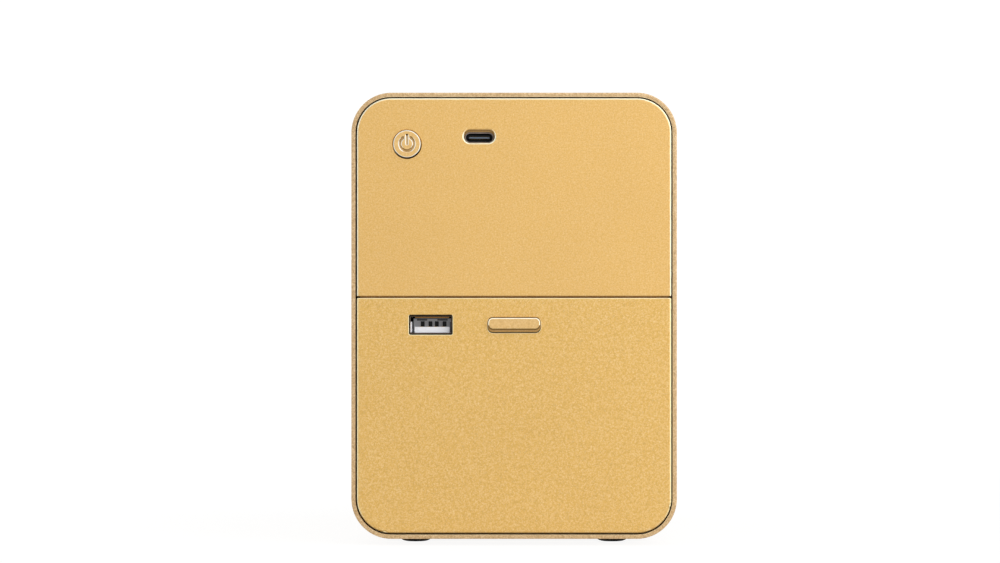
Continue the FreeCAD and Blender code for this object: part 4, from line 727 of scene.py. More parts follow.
class Patterns:
    """The geometry node trees. Each is built once, with its sizes as named inputs."""

    @staticmethod
    def close(graph: Graph, solid: Socket) -> None:
        """Ends a tree: smooth faces, real copies, and the piece's own material.

        Args:
            graph: the tree's graph.
            solid: what the tree made.
        """
        finish = graph.inlet("Material", Kind.MATERIAL)
        real = graph.add("GeometryNodeRealizeInstances", {"Geometry": solid}).outputs[0]
        smooth = graph.add("GeometryNodeSetShadeSmooth", {"Geometry": real}).outputs[0]
        wires = {"Geometry": smooth, "Material": finish}
        graph.outlet("Geometry", Kind.SOLID, graph.add("GeometryNodeSetMaterial", wires).outputs[0])

    @staticmethod
    def rounded_path(graph: Graph, width: object, height: object, radius: object,
                     steps: object) -> Socket:
        """Adds a rounded rectangle whose normals lie in its own plane.

        Args:
            graph: the tree's graph.
            width: its size along X.
            height: its size along Y.
            radius: its corners' radius.
            steps: the points of each corner.

        Returns:
            The curve's socket.
        """
        plain = graph.add("GeometryNodeCurvePrimitiveQuadrilateral", {"Width": width, "Height": height})
        wires = {"Curve": plain.outputs[0], "Count": steps, "Radius": radius, "Limit Radius": True}
        curve = graph.add("GeometryNodeFilletCurve", wires, mode="POLY").outputs[0]
        return graph.add("GeometryNodeSetCurveNormal", {"Curve": curve}, mode="Z_UP").outputs[0]

    @classmethod
    @cache
    def sleeve(cls) -> Tree:
        """A rounded tube along Y: a wall with eased rims, swept round a rounded rectangle.

        Returns:
            The tree.
        """
        graph = new_group("rounded sleeve", TreeKind.GEOMETRY)
        width = graph.inlet("Outside width", Kind.NUMBER)
        height = graph.inlet("Outside height", Kind.NUMBER)
        length = graph.inlet("Length", Kind.NUMBER)
        corner = graph.inlet("Corner radius", Kind.NUMBER)
        wall = graph.inlet("Wall", Kind.NUMBER)
        rim = graph.inlet("Rim radius", Kind.NUMBER)
        centre = graph.inlet("Centre", Kind.VECTOR)
        steps = graph.inlet("Corner steps", Kind.COUNT, 20)
        path = cls.rounded_path(graph, graph.calc("SUBTRACT", width, wall),
                                graph.calc("SUBTRACT", height, wall),
                                graph.calc("SUBTRACT", corner, graph.calc("MULTIPLY", wall, 0.5)), steps)
        section = cls.rounded_path(graph, wall, length, rim, 4)
        swept = graph.add("GeometryNodeCurveToMesh", {"Curve": path, "Profile Curve": section})
        turned = graph.add("GeometryNodeTransform", {
            "Geometry": swept.outputs[0], "Translation": centre, "Rotation": (math.pi / 2, 0, 0)})
        cls.close(graph, turned.outputs[0])
        return graph.tree

    @classmethod
    @cache
    def bars(cls) -> Tree:
        """A row of equal bars, such as pins, pads, ribs or fins.

        Returns:
            The tree.
        """
        graph = new_group("row of bars", TreeKind.GEOMETRY)
        count = graph.inlet("Count", Kind.COUNT)
        first = graph.inlet("First centre", Kind.VECTOR)
        step = graph.inlet("Step", Kind.VECTOR)
        size = graph.inlet("Bar size", Kind.VECTOR)
        line = graph.add("GeometryNodeMeshLine", {"Count": count, "Start Location": first, "Offset": step})
        bar = graph.add("GeometryNodeMeshCube", {"Size": size})
        wires = {"Points": line.outputs[0], "Instance": bar.outputs[0]}
        cls.close(graph, graph.add("GeometryNodeInstanceOnPoints", wires).outputs[0])
        return graph.tree

    @classmethod
    @cache
    def copies(cls) -> Tree:
        """One model at each mark, pointing along the mark's axis and turned about it by chance.

        A cross can be sunk into the model's head, whose top lies at the given height.

        Returns:
            The tree.
        """
        graph = new_group("copies on marks", TreeKind.GEOMETRY)
        marks = graph.inlet("Marks", Kind.SOLID)
        model = graph.inlet("Model", Kind.OBJECT)
        cross = graph.inlet("Cross size", Kind.VECTOR)
        head = graph.inlet("Head top", Kind.VECTOR)
        turn = graph.inlet("Largest turn", Kind.NUMBER)
        seed = graph.inlet("Seed", Kind.COUNT)
        solid = graph.add("GeometryNodeObjectInfo", {"Object": model}).outputs["Geometry"]
        one = graph.add("GeometryNodeMeshCube", {"Size": cross}).outputs[0]
        other = graph.add("GeometryNodeTransform", {"Geometry": one, "Rotation": (0, 0, math.pi / 2)})
        both = graph.add("GeometryNodeJoinGeometry", {"Geometry": one})
        graph.wire(other.outputs[0], both.inputs[0])
        tool = graph.add("GeometryNodeTransform", {"Geometry": both.outputs[0], "Translation": head})
        cut = graph.add("GeometryNodeMeshBoolean", {"Mesh 1": solid, "Mesh 2": tool.outputs[0],
                                                    "Self Intersection": True}, solver="EXACT")
        way = graph.add("GeometryNodeInputNamedAttribute", {"Name": AXIS}, data_type="FLOAT_VECTOR")
        aim = graph.add("FunctionNodeAlignRotationToVector", {"Vector": way.outputs[0]}, axis="Z")
        chance = graph.add("FunctionNodeRandomValue", {2: 0.0, 3: turn, "Seed": seed}, data_type="FLOAT")
        spin = graph.add("FunctionNodeAxisAngleToRotation", {"Axis": (0, 0, 1), "Angle": chance.outputs[1]})
        pose = graph.add("FunctionNodeRotateRotation", {
            "Rotation": aim.outputs[0], "Rotate By": spin.outputs[0]}, rotation_space="LOCAL")
        wires = {"Points": marks, "Instance": cut.outputs[0], "Rotation": pose.outputs[0]}
        cls.close(graph, graph.add("GeometryNodeInstanceOnPoints", wires).outputs[0])
        return graph.tree

    @classmethod
    @cache
    def coil(cls) -> Tree:
        """A coil of round wire that climbs along Z from the origin.

        Returns:
            The tree.
        """
        graph = new_group("wire coil", TreeKind.GEOMETRY)
        turns = graph.inlet("Turns", Kind.NUMBER)
        radius = graph.inlet("Coil radius", Kind.NUMBER)
        rise = graph.inlet("Rise", Kind.NUMBER)
        wire = graph.inlet("Wire radius", Kind.NUMBER)
        path = graph.add("GeometryNodeCurveSpiral", {
            "Resolution": 24, "Rotations": turns, "Start Radius": radius, "End Radius": radius,
            "Height": rise})
        section = graph.add("GeometryNodeCurvePrimitiveCircle", {"Resolution": 10, "Radius": wire})
        swept = graph.add("GeometryNodeCurveToMesh", {
            "Curve": path.outputs[0], "Profile Curve": section.outputs[0], "Fill Caps": True})
        cls.close(graph, swept.outputs[0])
        return graph.tree

    @classmethod
    @cache
    def thread(cls) -> Tree:
        """A screw thread along Z: a core with a ridge wound round it.

        Returns:
            The tree.
        """
        graph = new_group("screw thread", TreeKind.GEOMETRY)
        turns = graph.inlet("Turns", Kind.NUMBER)
        length = graph.inlet("Length", Kind.NUMBER)
        core = graph.inlet("Core radius", Kind.NUMBER)
        crest = graph.inlet("Crest radius", Kind.NUMBER)
        land = graph.inlet("Ridge width", Kind.NUMBER)
        middle = graph.calc("MULTIPLY", graph.calc("ADD", core, crest), 0.5)
        path = graph.add("GeometryNodeCurveSpiral", {
            "Resolution": 20, "Rotations": turns, "Start Radius": middle, "End Radius": middle,
            "Height": length})
        level = graph.add("GeometryNodeSetCurveNormal", {"Curve": path.outputs[0]}, mode="Z_UP")
        depth = graph.calc("SUBTRACT", crest, core)
        section = graph.add("GeometryNodeCurvePrimitiveQuadrilateral", {"Width": depth, "Height": land})
        ridge = graph.add("GeometryNodeCurveToMesh", {
            "Curve": level.outputs[0], "Profile Curve": section.outputs[0], "Fill Caps": True})
        thick = graph.calc("ADD", core, graph.calc("MULTIPLY", depth, 0.2))
        rod = graph.add("GeometryNodeMeshCylinder", {"Vertices": 32, "Radius": thick, "Depth": length})
        lift = graph.add("ShaderNodeCombineXYZ", {"Z": graph.calc("MULTIPLY", length, 0.5)})
        stood = graph.add("GeometryNodeTransform", {
            "Geometry": rod.outputs[0], "Translation": lift.outputs[0]})
        both = graph.add("GeometryNodeJoinGeometry", {"Geometry": ridge.outputs[0]})
        graph.wire(stood.outputs[0], both.inputs[0])
        cls.close(graph, both.outputs[0])
        return graph.tree

    @classmethod
    @cache
    def belt(cls) -> Tree:
        """A flat belt round two pulleys in the XY plane, with teeth on its inside.

        Returns:
            The tree.
        """
        graph = new_group("toothed belt", TreeKind.GEOMETRY)
        length = graph.inlet("Outside length", Kind.NUMBER)
        width = graph.inlet("Outside width", Kind.NUMBER)
        thick = graph.inlet("Thickness", Kind.NUMBER)
        deep = graph.inlet("Depth", Kind.NUMBER)
        pitch = graph.inlet("Tooth pitch", Kind.NUMBER)
        tooth = graph.inlet("Tooth size", Kind.VECTOR)
        centre = graph.inlet("Centre", Kind.VECTOR)
        steps = graph.inlet("Bend steps", Kind.COUNT, 12)
        paths = []
        for inset in (thick, graph.calc("ADD", graph.calc("MULTIPLY", thick, 2.0), 0.3 * MM)):
            span_x = graph.calc("SUBTRACT", length, inset)
            span_y = graph.calc("SUBTRACT", width, inset)
            bend = graph.calc("MULTIPLY", span_y, 0.4999)
            paths.append(cls.rounded_path(graph, span_x, span_y, bend, steps))
        section = graph.add("GeometryNodeCurvePrimitiveQuadrilateral", {"Width": thick, "Height": deep})
        band = graph.add("GeometryNodeCurveToMesh", {
            "Curve": paths[0], "Profile Curve": section.outputs[0]}).outputs[0]
        marks = graph.add("GeometryNodeResampleCurve", {"Curve": paths[1], "Length": pitch}, mode="LENGTH")
        way = graph.add("GeometryNodeInputTangent").outputs[0]
        aim = graph.add("FunctionNodeAlignRotationToVector", {"Vector": way}, axis="X", pivot_axis="Z")
        block = graph.add("GeometryNodeMeshCube", {"Size": tooth}).outputs[0]
        teeth = graph.add("GeometryNodeInstanceOnPoints", {
            "Points": marks.outputs[0], "Instance": block, "Rotation": aim.outputs[0]})
        both = graph.add("GeometryNodeJoinGeometry", {"Geometry": band})
        graph.wire(teeth.outputs[0], both.inputs[0])
        moved = graph.add("GeometryNodeTransform", {"Geometry": both.outputs[0], "Translation": centre})
        cls.close(graph, moved.outputs[0])
        return graph.tree


# ---- the bench

@dataclass(frozen=True)
class Box:
    """The lowest and highest corner of something."""

    low: Vector
    high: Vector

    @property
    def middle(self) -> Vector:
        """The point halfway between the corners."""
        return (self.low + self.high) / 2

    @property
    def size(self) -> Vector:
        """The lengths of the three sides."""
        return self.high - self.low


@cache
def node_box(node: str) -> Box:
    """Gives a solid's box at rest."""
    return Box(*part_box(node))


class Bench:
    """Turns the frame's plain solids into dressed pieces."""

    SMOOTH_LIMIT = math.radians(50)
    BEVEL_LIMIT = math.radians(30)
    FLAT_LIMIT = math.radians(0.5)
    MERGE = 2e-6
    SLIVER = 5e-9               # the edges of a face with less area than this aren't eased

    def __init__(self, packed: dict) -> None:
        """Reads which body and which material slot each solid has.
        """
        record = packed["record"]
        self.nodes = packed["nodes"]
        self.body_of = {n: b for b, group in record["behaviour"]["bodies"].items() for n in group}
        self.slot_of = {part["node"]: part["material_slot"] for part in record["subparts"]}
        self.count = 0

    @staticmethod
    def show(name: str, mesh: Mesh) -> Piece:
        """Links a mesh into the scene as an object at the origin.

        Args:
            name: the object's name.
            mesh: its mesh.

        Returns:
            The object.
        """
        made = bpy.data.objects.new(name, mesh)
        bpy.context.scene.collection.objects.link(made)
        return made

    @staticmethod
    def evaluated(piece: Piece) -> Mesh:
        """Turns an object with its modifiers into a plain mesh, and removes the object.

        Args:
            piece: the object with live modifiers.

        Returns:
            The plain mesh.
        """
        depsgraph = bpy.context.evaluated_depsgraph_get()
        mesh = bpy.data.meshes.new_from_object(piece.evaluated_get(depsgraph))
        bpy.data.objects.remove(piece)
        return mesh

    def dress(self, finish: Palette, *nodes: str) -> None:
        """Gives a finish to solids that keep their own mesh.

        Args:
            finish: the finish.
            nodes: the solids' names.
        """
        for node in nodes:
            solid = self.nodes[node]
            if not solid.material_slots:
                solid.data.materials.append(None)
            for place in solid.material_slots:
                place.material = finish.value.material()
            self.count += 1

    @staticmethod
    def mark_faces(mesh: Mesh, mark: Mark) -> None:
        """Writes each face's mark, which the finishes read.

        Args:
            mesh: the mesh, whose eased faces have the material index 1.
            mark: what gives a face's mark.
        """
        faces = (Face(side.center, side.normal, side.material_index == 1) for side in mesh.polygons)
        marks = [mark(face) for face in faces]
        mesh.attributes.new(WEAR_AND_LIGHT_MARK, "FLOAT", "FACE").data.foreach_set("value", marks)

    @staticmethod
    def eased_wear_and_highlight(face: Face) -> float:
        """Marks the eased faces alone, for wear on edges with a painted highlight."""
        return float(face.eased)

    def weighed(self, node: str, whole: bool, behind: float) -> Mesh:
        """Copies a solid's mesh and gives a weight to the edges that are to be eased.

        Args:
            node: the solid's name.
            whole: whether the triangles of a flat side become one face first.
            behind: an edge further forward than this stays as it is.

        Returns:
            The new mesh, with a second material for the eased faces.
        """
        mesh = self.nodes[node].data.copy()
        if "custom_normal" in mesh.attributes:
            mesh.attributes.remove(mesh.attributes["custom_normal"])
        shape = bmesh.new()
        shape.from_mesh(mesh)
        bmesh.ops.remove_doubles(shape, verts=shape.verts, dist=self.MERGE)
        bmesh.ops.dissolve_degenerate(shape, dist=self.MERGE / 2, edges=shape.edges)
        if whole:
            bmesh.ops.dissolve_limit(shape, angle_limit=self.FLAT_LIMIT, verts=shape.verts, edges=shape.edges)
        weight = shape.edges.layers.float.new("bevel_weight_edge")
        for edge in shape.edges:
            firm = edge.is_manifold and min(face.calc_area() for face in edge.link_faces) > self.SLIVER
            near = min(corner.co.y for corner in edge.verts) > behind
            edge[weight] = float(firm and near and edge.calc_face_angle() > self.BEVEL_LIMIT)
        for face in shape.faces:
            face.smooth = True
            face.material_index = 0
        shape.to_mesh(mesh)
        shape.free()
        mesh.materials.clear()
        for name in ("plain", "eased"):
            mesh.materials.append(bpy.data.materials.get(name) or bpy.data.materials.new(name))
        return mesh

    def weighted(self, mesh: Mesh) -> Mesh:
        """Lets the large faces rule the shading, so that flat faces stay flat.

        Args:
            mesh: the mesh to shade.

        Returns:
            The mesh with its own normals.
        """
        mesh.polygons.foreach_set("use_smooth", [True] * len(mesh.polygons))
        mesh.set_sharp_from_angle(angle=self.SMOOTH_LIMIT)
        worked = self.show("shading", mesh)
        rule = worked.modifiers.new("shade", "WEIGHTED_NORMAL")
        rule.keep_sharp, rule.weight = True, 100
        return self.evaluated(worked)

    def grown(self, tree: Tree, finish: Palette, sizes: dict,
              host: Mesh | None = None) -> Mesh:
        """Runs a geometry node tree and gives its result as a plain mesh.

        Args:
            tree: the tree.
            finish: the finish that it sets.
            sizes: its inputs' values, by name.
            host: the mesh that it works on, where it needs one.

        Returns:
            The plain mesh.
        """
        worked = self.show("grown", host or bpy.data.meshes.new("grown"))
        growth = worked.modifiers.new("grow", "NODES")
        growth.node_group = tree
        values = {**sizes, "Material": finish.value.material()}
        for item in tree.interface.items_tree:
            if item.in_out == "INPUT" and item.name in values:
                growth[item.identifier] = values[item.name]
        mesh = self.evaluated(worked)
        mesh.set_sharp_from_angle(angle=CREASE)
        return mesh

    def place(self, name: str, mesh: Mesh, finish: Palette, node: str,
              stands_for: Iterable[str] = (), slot: str | None = None,
              ride: bool = True) -> Piece:
        """Puts a finished mesh in the scene, where it rides with a solid's body.

        Args:
            name: the piece's name.
            mesh: its mesh, in place.
            finish: its finish.
            node: the solid whose body it rides on.
            stands_for: the solids that it replaces.
            slot: its material slot, where it isn't that solid's; it is not used.
            ride: whether it rides on the solid's body.

        Returns:
            The piece.
        """
        mesh.name = name
        mesh.materials.clear()
        mesh.materials.append(finish.value.material())
        piece = self.show(name, mesh)
        if ride:
            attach(piece, self.body_of[node])
        if stands_for:
            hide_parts(*stands_for)
        self.count += 1
        log.info("%s: %d faces on %s", name, len(mesh.polygons), self.body_of[node])
        return piece

    def ease(self, node: str, finish: Palette, width: float, mark: Mark | None = None, steps: int = 2,
             tight: bool = True, whole: bool = True, behind: float = -math.inf) -> Piece:
        """Replaces a solid by a copy with eased edges and marked faces.

        Args:
            node: the solid's name.
            finish: the finish.
            width: how wide the easing is.
            mark: what gives a face's mark, where it isn't only the eased faces that have one.
            steps: how many faces the easing has.
            tight: whether the easing stays as narrow as the shortest edges ask.
            whole: whether the triangles of a flat side become one face first.
            behind: an edge further forward than this stays as it is.

        Returns:
            The piece.
        """
        worked = self.show(node + "_worked", self.weighed(node, whole, behind))
        bevel = worked.modifiers.new("ease", "BEVEL")
        bevel.width, bevel.segments, bevel.material = width, steps, 1
        bevel.limit_method = "WEIGHT"
        bevel.miter_outer, bevel.use_clamp_overlap = "MITER_ARC", tight
        mesh = self.evaluated(worked)
        self.mark_faces(mesh, mark or self.eased_wear_and_highlight)
        mesh.polygons.foreach_set("material_index", [0] * len(mesh.polygons))
        return self.place(node + "_piece", self.weighted(mesh), finish, node, (node,))

    def row(self, name: str, finish: Palette, node: str, middle: Point, size: Point, count: int = 1,
            pitch: float = 0.0, slot: str | None = None) -> Piece:
        """Adds a row of equal bars along X as one piece.

        Args:
            name: the piece's name.
            finish: the finish.
            node: the solid that it sits on.
            middle: the middle of the row.
            size: a bar's size.
            count: how many bars.
            pitch: from one bar to the next.
            slot: the material slot, where it isn't the solid's.

        Returns:
            The piece.
        """
        first = (middle[0] - (count - 1) / 2 * pitch, middle[1], middle[2])
        sizes = {"Count": count, "First centre": first, "Step": (pitch, 0.0, 0.0), "Bar size": size}
        return self.place(name, self.grown(Patterns.bars(), finish, sizes), finish, node, slot=slot)

    def islands(self, node: str) -> list[Box]:
        """Finds the separate solids of a node.

        Args:
            node: the node's name.

        Returns:
            Each solid's box, in order of place.
        """
        shape = bmesh.new()
        shape.from_mesh(self.nodes[node].data)
        bmesh.ops.remove_doubles(shape, verts=shape.verts, dist=self.MERGE)
        left, boxes = set(shape.verts), []
        while left:
            island, edge = set(), [left.pop()]
            while edge:
                corner = edge.pop()
                island.add(corner)
                near = {e.other_vert(corner) for e in corner.link_edges} & left
                left -= near
                edge += near
            spots = [v.co for v in island]
            boxes.append(Box(Vector([min(s[i] for s in spots) for i in range(3)]),
                             Vector([max(s[i] for s in spots) for i in range(3)])))
        shape.free()
        return sorted(boxes, key=lambda b: tuple(round(c, 5) for c in b.middle))

    def copies(self, finish: Palette, model: Mesh, marks: list[tuple[Vector, Vector]],
               cross: Point = (0.0, 0.0, 0.0), head: Point = (0.0, 0.0, 1.0), turn: float = 0.0,
               seed: int = 7) -> Mesh:
        """Sets one model at each mark.

        Args:
            finish: the finish.
            model: the model, along Z from the origin.
            marks: each copy's place and the direction of its Z.
            cross: the size of the recess's bar, or nothing.
            head: where the recess is centred.
            turn: the largest chance turn about the axis.
            seed: what the chance starts from.

        Returns:
            The plain mesh of all copies.
        """
        host = bpy.data.meshes.new("marks")
        host.from_pydata([tuple(spot) for spot, _ in marks], [], [])
        ways = host.attributes.new(AXIS, "FLOAT_VECTOR", "POINT")
        ways.data.foreach_set("vector", [part for _, way in marks for part in way])
        pattern = self.show("model", model)
        pattern.hide_render = True
        sizes = {"Model": pattern, "Cross size": cross, "Head top": head, "Largest turn": turn, "Seed": seed}
        mesh = self.grown(Patterns.copies(), finish, sizes, host)
        bpy.data.objects.remove(pattern)
        return mesh


def closed(shape: bmesh.types.BMesh, name: str) -> Mesh:
    """Makes a closed shape into a mesh with its faces smooth and outwards.

    Args:
        shape: the shape, which is freed.
        name: the mesh's name.

    Returns:
        The mesh.
    """
    bmesh.ops.recalc_face_normals(shape, faces=shape.faces)
    mesh = bpy.data.meshes.new(name)
    shape.to_mesh(mesh)
    shape.free()
    mesh.polygons.foreach_set("use_smooth", [True] * len(mesh.polygons))
    return mesh


def lathe(profile: list[tuple[float, float]], sides: int = 32) -> Mesh:
    """Turns a profile round Z into a closed solid.

    Args:
        profile: points of radius and height, from one pole to the other.
        sides: how many sides the round has.

    Returns:
        The mesh, with its faces outwards.
    """
    shape = bmesh.new()
    rings = []
    for radius, height in profile:
        if radius < 1e-7:
            rings.append([shape.verts.new((0, 0, height))])
            continue
        angles = [2 * math.pi * side / sides for side in range(sides)]
        rings.append([shape.verts.new((radius * math.cos(a), radius * math.sin(a), height)) for a in angles])
    for low, high in zip(rings, rings[1:]):
        for side in range(sides):
            after = (side + 1) % sides
            corners = [ring[spot % len(ring)]
                       for ring, spot in ((low, side), (low, after), (high, after), (high, side))]
            kept = list(dict.fromkeys(corners))
            if len(kept) > 2:
                shape.faces.new(kept)
    for ring in (rings[0], rings[-1]):
        if len(ring) > 1:
            shape.faces.new(ring)
    return closed(shape, "turned")


def upright(boxes: Iterable[Box]) -> list[tuple[Vector, Vector]]:
    """Marks the middle of each box's foot, pointing up."""
    return [(Vector((box.middle.x, box.middle.y, box.low.z)), Vector((0, 0, 1))) for box in boxes]


def joined(meshes: Iterable[Mesh]) -> Mesh:
    """Puts several meshes into one.

    Args:
        meshes: the meshes.

    Returns:
        The one mesh.
    """
    shape = bmesh.new()
    for mesh in meshes:
        shape.from_mesh(mesh)
    whole = bpy.data.meshes.new("joined")
    shape.to_mesh(whole)
    shape.free()
    return whole


# ---- the sub-assemblies

@dataclass
class Casing:
    """The sleeve and the panels that close it."""

    wall: float = 1.4 * MM
    corner: float = 12.3 * MM
    rim: float = 0.4 * MM
    panel_ease: float = 0.19 * MM
    trim_ease: float = 0.2 * MM
    # The marks set below paint light: highlights on rims, and shade in the gaps, on downward rims, on ledges
    # and below the power button.
    wall_tilt: float = 0.17             # a face whose normal has less Y than this is a side wall
    rim_tilt: float = 0.85              # a rounded rim has a painted highlight as far as this
    faint_tilt: float = 0.97            # and a faint painted highlight as far as this
    mouth_tilt: float = 0.95            # and round the inlet's mouth as far as this
    sleeve_tilt: float = 0.98           # and on the sleeve as far as this
    flat_tilt: float = 1 - 1e-4         # past this a face is flat
    low_tilt: float = -0.3              # a face whose normal has less Z than this gets painted shade
    face: float = 78.8 * MM             # how far a panel's face is from the middle
    eased_from: float = 78.0 * MM       # behind here the rear panels' edges are eased
    sunk: float = 0.1 * MM              # what lies this far behind the face is sunk
    gap_floor: float = 76.0 * MM        # the gaps round the panels are seen down to here
    far_loss: float = 1.25              # how fast the painted highlight on the sleeve's rim fades on the far side
    faint: float = 0.35                 # the mark of a rim with a faint painted highlight
    ledge_shade: float = 0.6             # how much painted shade the ledges in the gaps have
    seam_wall_shade: float = 0.4              # and the walls at the seam
    seam_shade: float = 0.5             # how much painted shade a rim at the seam has where it faces down
    low_shade: float = 0.8              # and any other rim
    seam: float = 76.2 * MM
    seam_reach: float = 1.0 * MM
    strip_face: float = 78.0 * MM       # the strip of painted seam shade ends here
    strip_depth: float = 0.9 * MM
    strip_height: float = 0.44 * MM
    strip_rise: float = 0.03 * MM       # it hangs from the cover, clear of the door
    strip_inset: float = 5.2 * MM
    button_room: float = 5.6 * MM       # the button's painted shadow reaches this far on the cover
    lee: tuple[float, float] = (-0.35, -0.94)   # and most on this side, as X and Z
    lee_gain: float = 1.5               # how fast that shade deepens
    mouth_room: float = 7.0 * MM        # the inlet's mouth reaches as far as this
    mouth_slope: float = 3.0            # its lower lip faces up more than aside by this factor
    mouth_low: float = 0.8              # the mark of that lip
    mouth_lip: float = 0.5              # which has its painted highlight only where its normal has more Y than this

    def build(self, bench: Bench) -> None:
        """Builds the sleeve, the rear cover, the door, the fascia and its trim.

        Args:
            bench: where the pieces are made.
        """
        box = node_box("outer_sleeve")
        sizes = {"Outside width": box.size.x, "Outside height": box.size.z, "Length": box.size.y,
                 "Corner radius": self.corner, "Wall": self.wall, "Rim radius": self.rim,
                 "Centre": tuple(box.middle)}
        mesh = bench.grown(Patterns.sleeve(), Palette.SLEEVE, sizes)
        bench.mark_faces(mesh, self.sleeve_mark)
        bench.place("sleeve_tube", bench.weighted(mesh), Palette.SLEEVE, "outer_sleeve", ("outer_sleeve",))
        bench.ease("rear_upper_cover", Palette.COVER, self.panel_ease, self.cover_mark, tight=False,
                   behind=self.eased_from)
        bench.ease("rear_door", Palette.DOOR, self.panel_ease, self.panel_mark, tight=False,
                   behind=self.eased_from)
        # A strip of painted seam shade fills the gap between the cover and the door.
        strip = (box.size.x - self.strip_inset, self.strip_depth, self.strip_height)
        spot = (box.middle.x, self.strip_face - self.strip_depth / 2, self.seam + self.strip_rise)
        bench.row("seam_strip", Palette.SEAM, "rear_upper_cover", spot, strip)
        bench.ease("front_fascia", Palette.COVER, self.panel_ease, self.panel_mark)
        bench.ease("port_bezel", Palette.SLEEVE, self.trim_ease, self.panel_mark)

    def sleeve_mark(self, face: Face) -> float:
        """Marks the sleeve with painted shade inside, and a painted highlight on its inner rim that fades on
        its far side.

        Args:
            face: the face.

        Returns:
            The mark.
        """
        spot, normal, _ = face
        box = node_box("outer_sleeve")
        inward = (box.middle - spot).dot(Vector((normal.x, 0, normal.z))) > 0
        if abs(normal.y) < self.wall_tilt:
            return -float(inward)
        if not inward or abs(normal.y) > self.sleeve_tilt:
            return 0.0
        away = -normal.x / math.hypot(normal.x, normal.z)
        return 1.0 if spot.y < 0 or away < 0 else 1.0 - self.far_loss * away

    def panel_mark(self, face: Face) -> float:
        """Marks a panel: a painted highlight on its rim where it faces up or aside, and painted shade below
        and in the gaps.

        Args:
            face: the face.

        Returns:
            The mark.
        """
        spot, normal, eased = face
        across, deep = abs(normal.y), abs(spot.y)
        at_seam = abs(spot.z - self.seam) < self.seam_reach
        if across < self.wall_tilt and not eased:
            return -(self.seam_wall_shade if at_seam else 1.0) * float(deep > self.gap_floor)
        if across > self.faint_tilt and not eased:
            return -self.ledge_shade * float(self.gap_floor < deep < self.face - self.sunk)
        if normal.z > self.low_tilt:
            return self.faint if across > self.rim_tilt and not eased else 1.0
        return normal.z * (self.seam_shade if at_seam else self.low_shade)

    def cover_mark(self, face: Face) -> float:
        """Marks the upper cover with the power button's painted shadow below its hole, and a painted
        highlight round the inlet's mouth.

        Args:
            face: the face.

        Returns:
            The mark.
        """
        spot, normal, _ = face
        across = abs(normal.y)
        off = spot - node_box("power_button").middle
        reach = math.hypot(off.x, off.z)
        if reach < self.button_room and across < self.flat_tilt:
            shade = self.lee_gain * Vector((off.x, off.z)).dot(Vector(self.lee)) / reach
            return -max(0.0, min(1.0, shade))
        off = spot - node_box("usb_c_shell").middle
        mouth = math.hypot(off.x, off.z) < self.mouth_room
        if mouth and self.wall_tilt < across < self.mouth_tilt:
            if normal.z > self.mouth_slope * abs(normal.x):
                return self.mouth_low * float(across > self.mouth_lip)
            return float(normal.z > self.low_tilt)
        if mouth and self.mouth_tilt <= across < self.flat_tilt:
            return 0.0
        return self.panel_mark(face)


@dataclass
class Controls:
    """The power button, the door's release and the status light."""

    cap_ease: float = 0.16 * MM
    bar_ease: float = 0.28 * MM
    lens_ease: float = 0.2 * MM
    # The marks set below paint light on the power button and the release: highlights on rims and lit slopes,
    # and shade and shadow below them and in the symbol.
    symbol_room: float = 3.5 * MM       # the sunk symbol lies within this radius
    sunk: float = 0.03 * MM             # what lies this deep belongs to the symbol
    groove: float = 0.28 * MM           # and what lies this deep to its floor
    bar_top: float = 2.6 * MM           # the symbol's bar ends above this
    low_tilt: float = -0.2              # a slope whose normal has less Z than this faces down
    dim_tilt: float = -0.45             # the cap's painted highlight is less where its rim faces lower than this
    rim_tilt: float = 0.75              # and painted shadow where its normal has less Y than this
    flat_tilt: float = 0.98             # a face whose normal has more Y than this is flat
    side_tilt: float = 0.1              # and with less Y than this it is a side
    dim: float = 0.55                   # the mark of the less bright part of the rim
    symbol_light: float = 0.9           # the marks of the symbol's lit slopes
    symbol_foot: float = 0.2            # and of the ring's foot
    foot_share: float = 0.85            # which is what lies lower than this share of its radius
    symbol_floor: float = -0.33
    symbol_shade: float = -0.6
    symbol_side: float = -0.9
    bar_tilt: float = -0.05             # the release has painted shade where it faces lower than this
    bar_line: float = -0.9
    bar_flank: float = -0.4

    def build(self, bench: Bench) -> None:
        """Builds what the user presses and looks at.

        Args:
            bench: where the pieces are made.
        """
        bench.ease("power_button", Palette.BUTTON, self.cap_ease, self.cap_mark)
        bench.ease("latch_button", Palette.RELEASE, self.bar_ease, self.bar_mark, 3, False)
        bench.ease("status_light", Palette.LIGHT_GUIDE, self.lens_ease)
        bench.dress(Palette.SOCKET_BLACK, "power_switch", "switch_plunger")

    def cap_mark(self, face: Face) -> float:
        """Marks the power button: a painted highlight round its rim, a painted shadow under it, and painted
        shade in its symbol but for its lit slopes.

        Args:
            face: the face.

        Returns:
            The mark.
        """
        spot, normal, eased = face
        box = node_box("power_button")
        off = spot - box.middle
        reach = math.hypot(off.x, off.z)
        if reach > self.symbol_room:
            if normal.z > self.dim_tilt:
                return float(self.flat_tilt > normal.y > self.side_tilt)
            return 0.0 if normal.y > self.flat_tilt else self.dim if normal.y > self.rim_tilt else -1.0
        deep = box.high.y - spot.y
        if deep < self.sunk and not eased:
            return 0.0
        if normal.y < self.side_tilt or normal.z < self.low_tilt and off.z > self.bar_top:
            return self.symbol_side
        if normal.y > self.flat_tilt or deep > self.groove:
            return self.symbol_floor
        if normal.z < self.low_tilt:
            return self.symbol_shade
        return self.symbol_foot if off.z < -self.foot_share * reach else self.symbol_light

    def bar_mark(self, face: Face) -> float:
        """Marks the release: a painted highlight on its outline above, and a line and a flank of painted
        shade below.

        Args:
            face: the face.

        Returns:
            The mark.
        """
        if face.normal.z > self.bar_tilt:
            return float(face.eased)
        return self.bar_line if face.eased else self.bar_flank


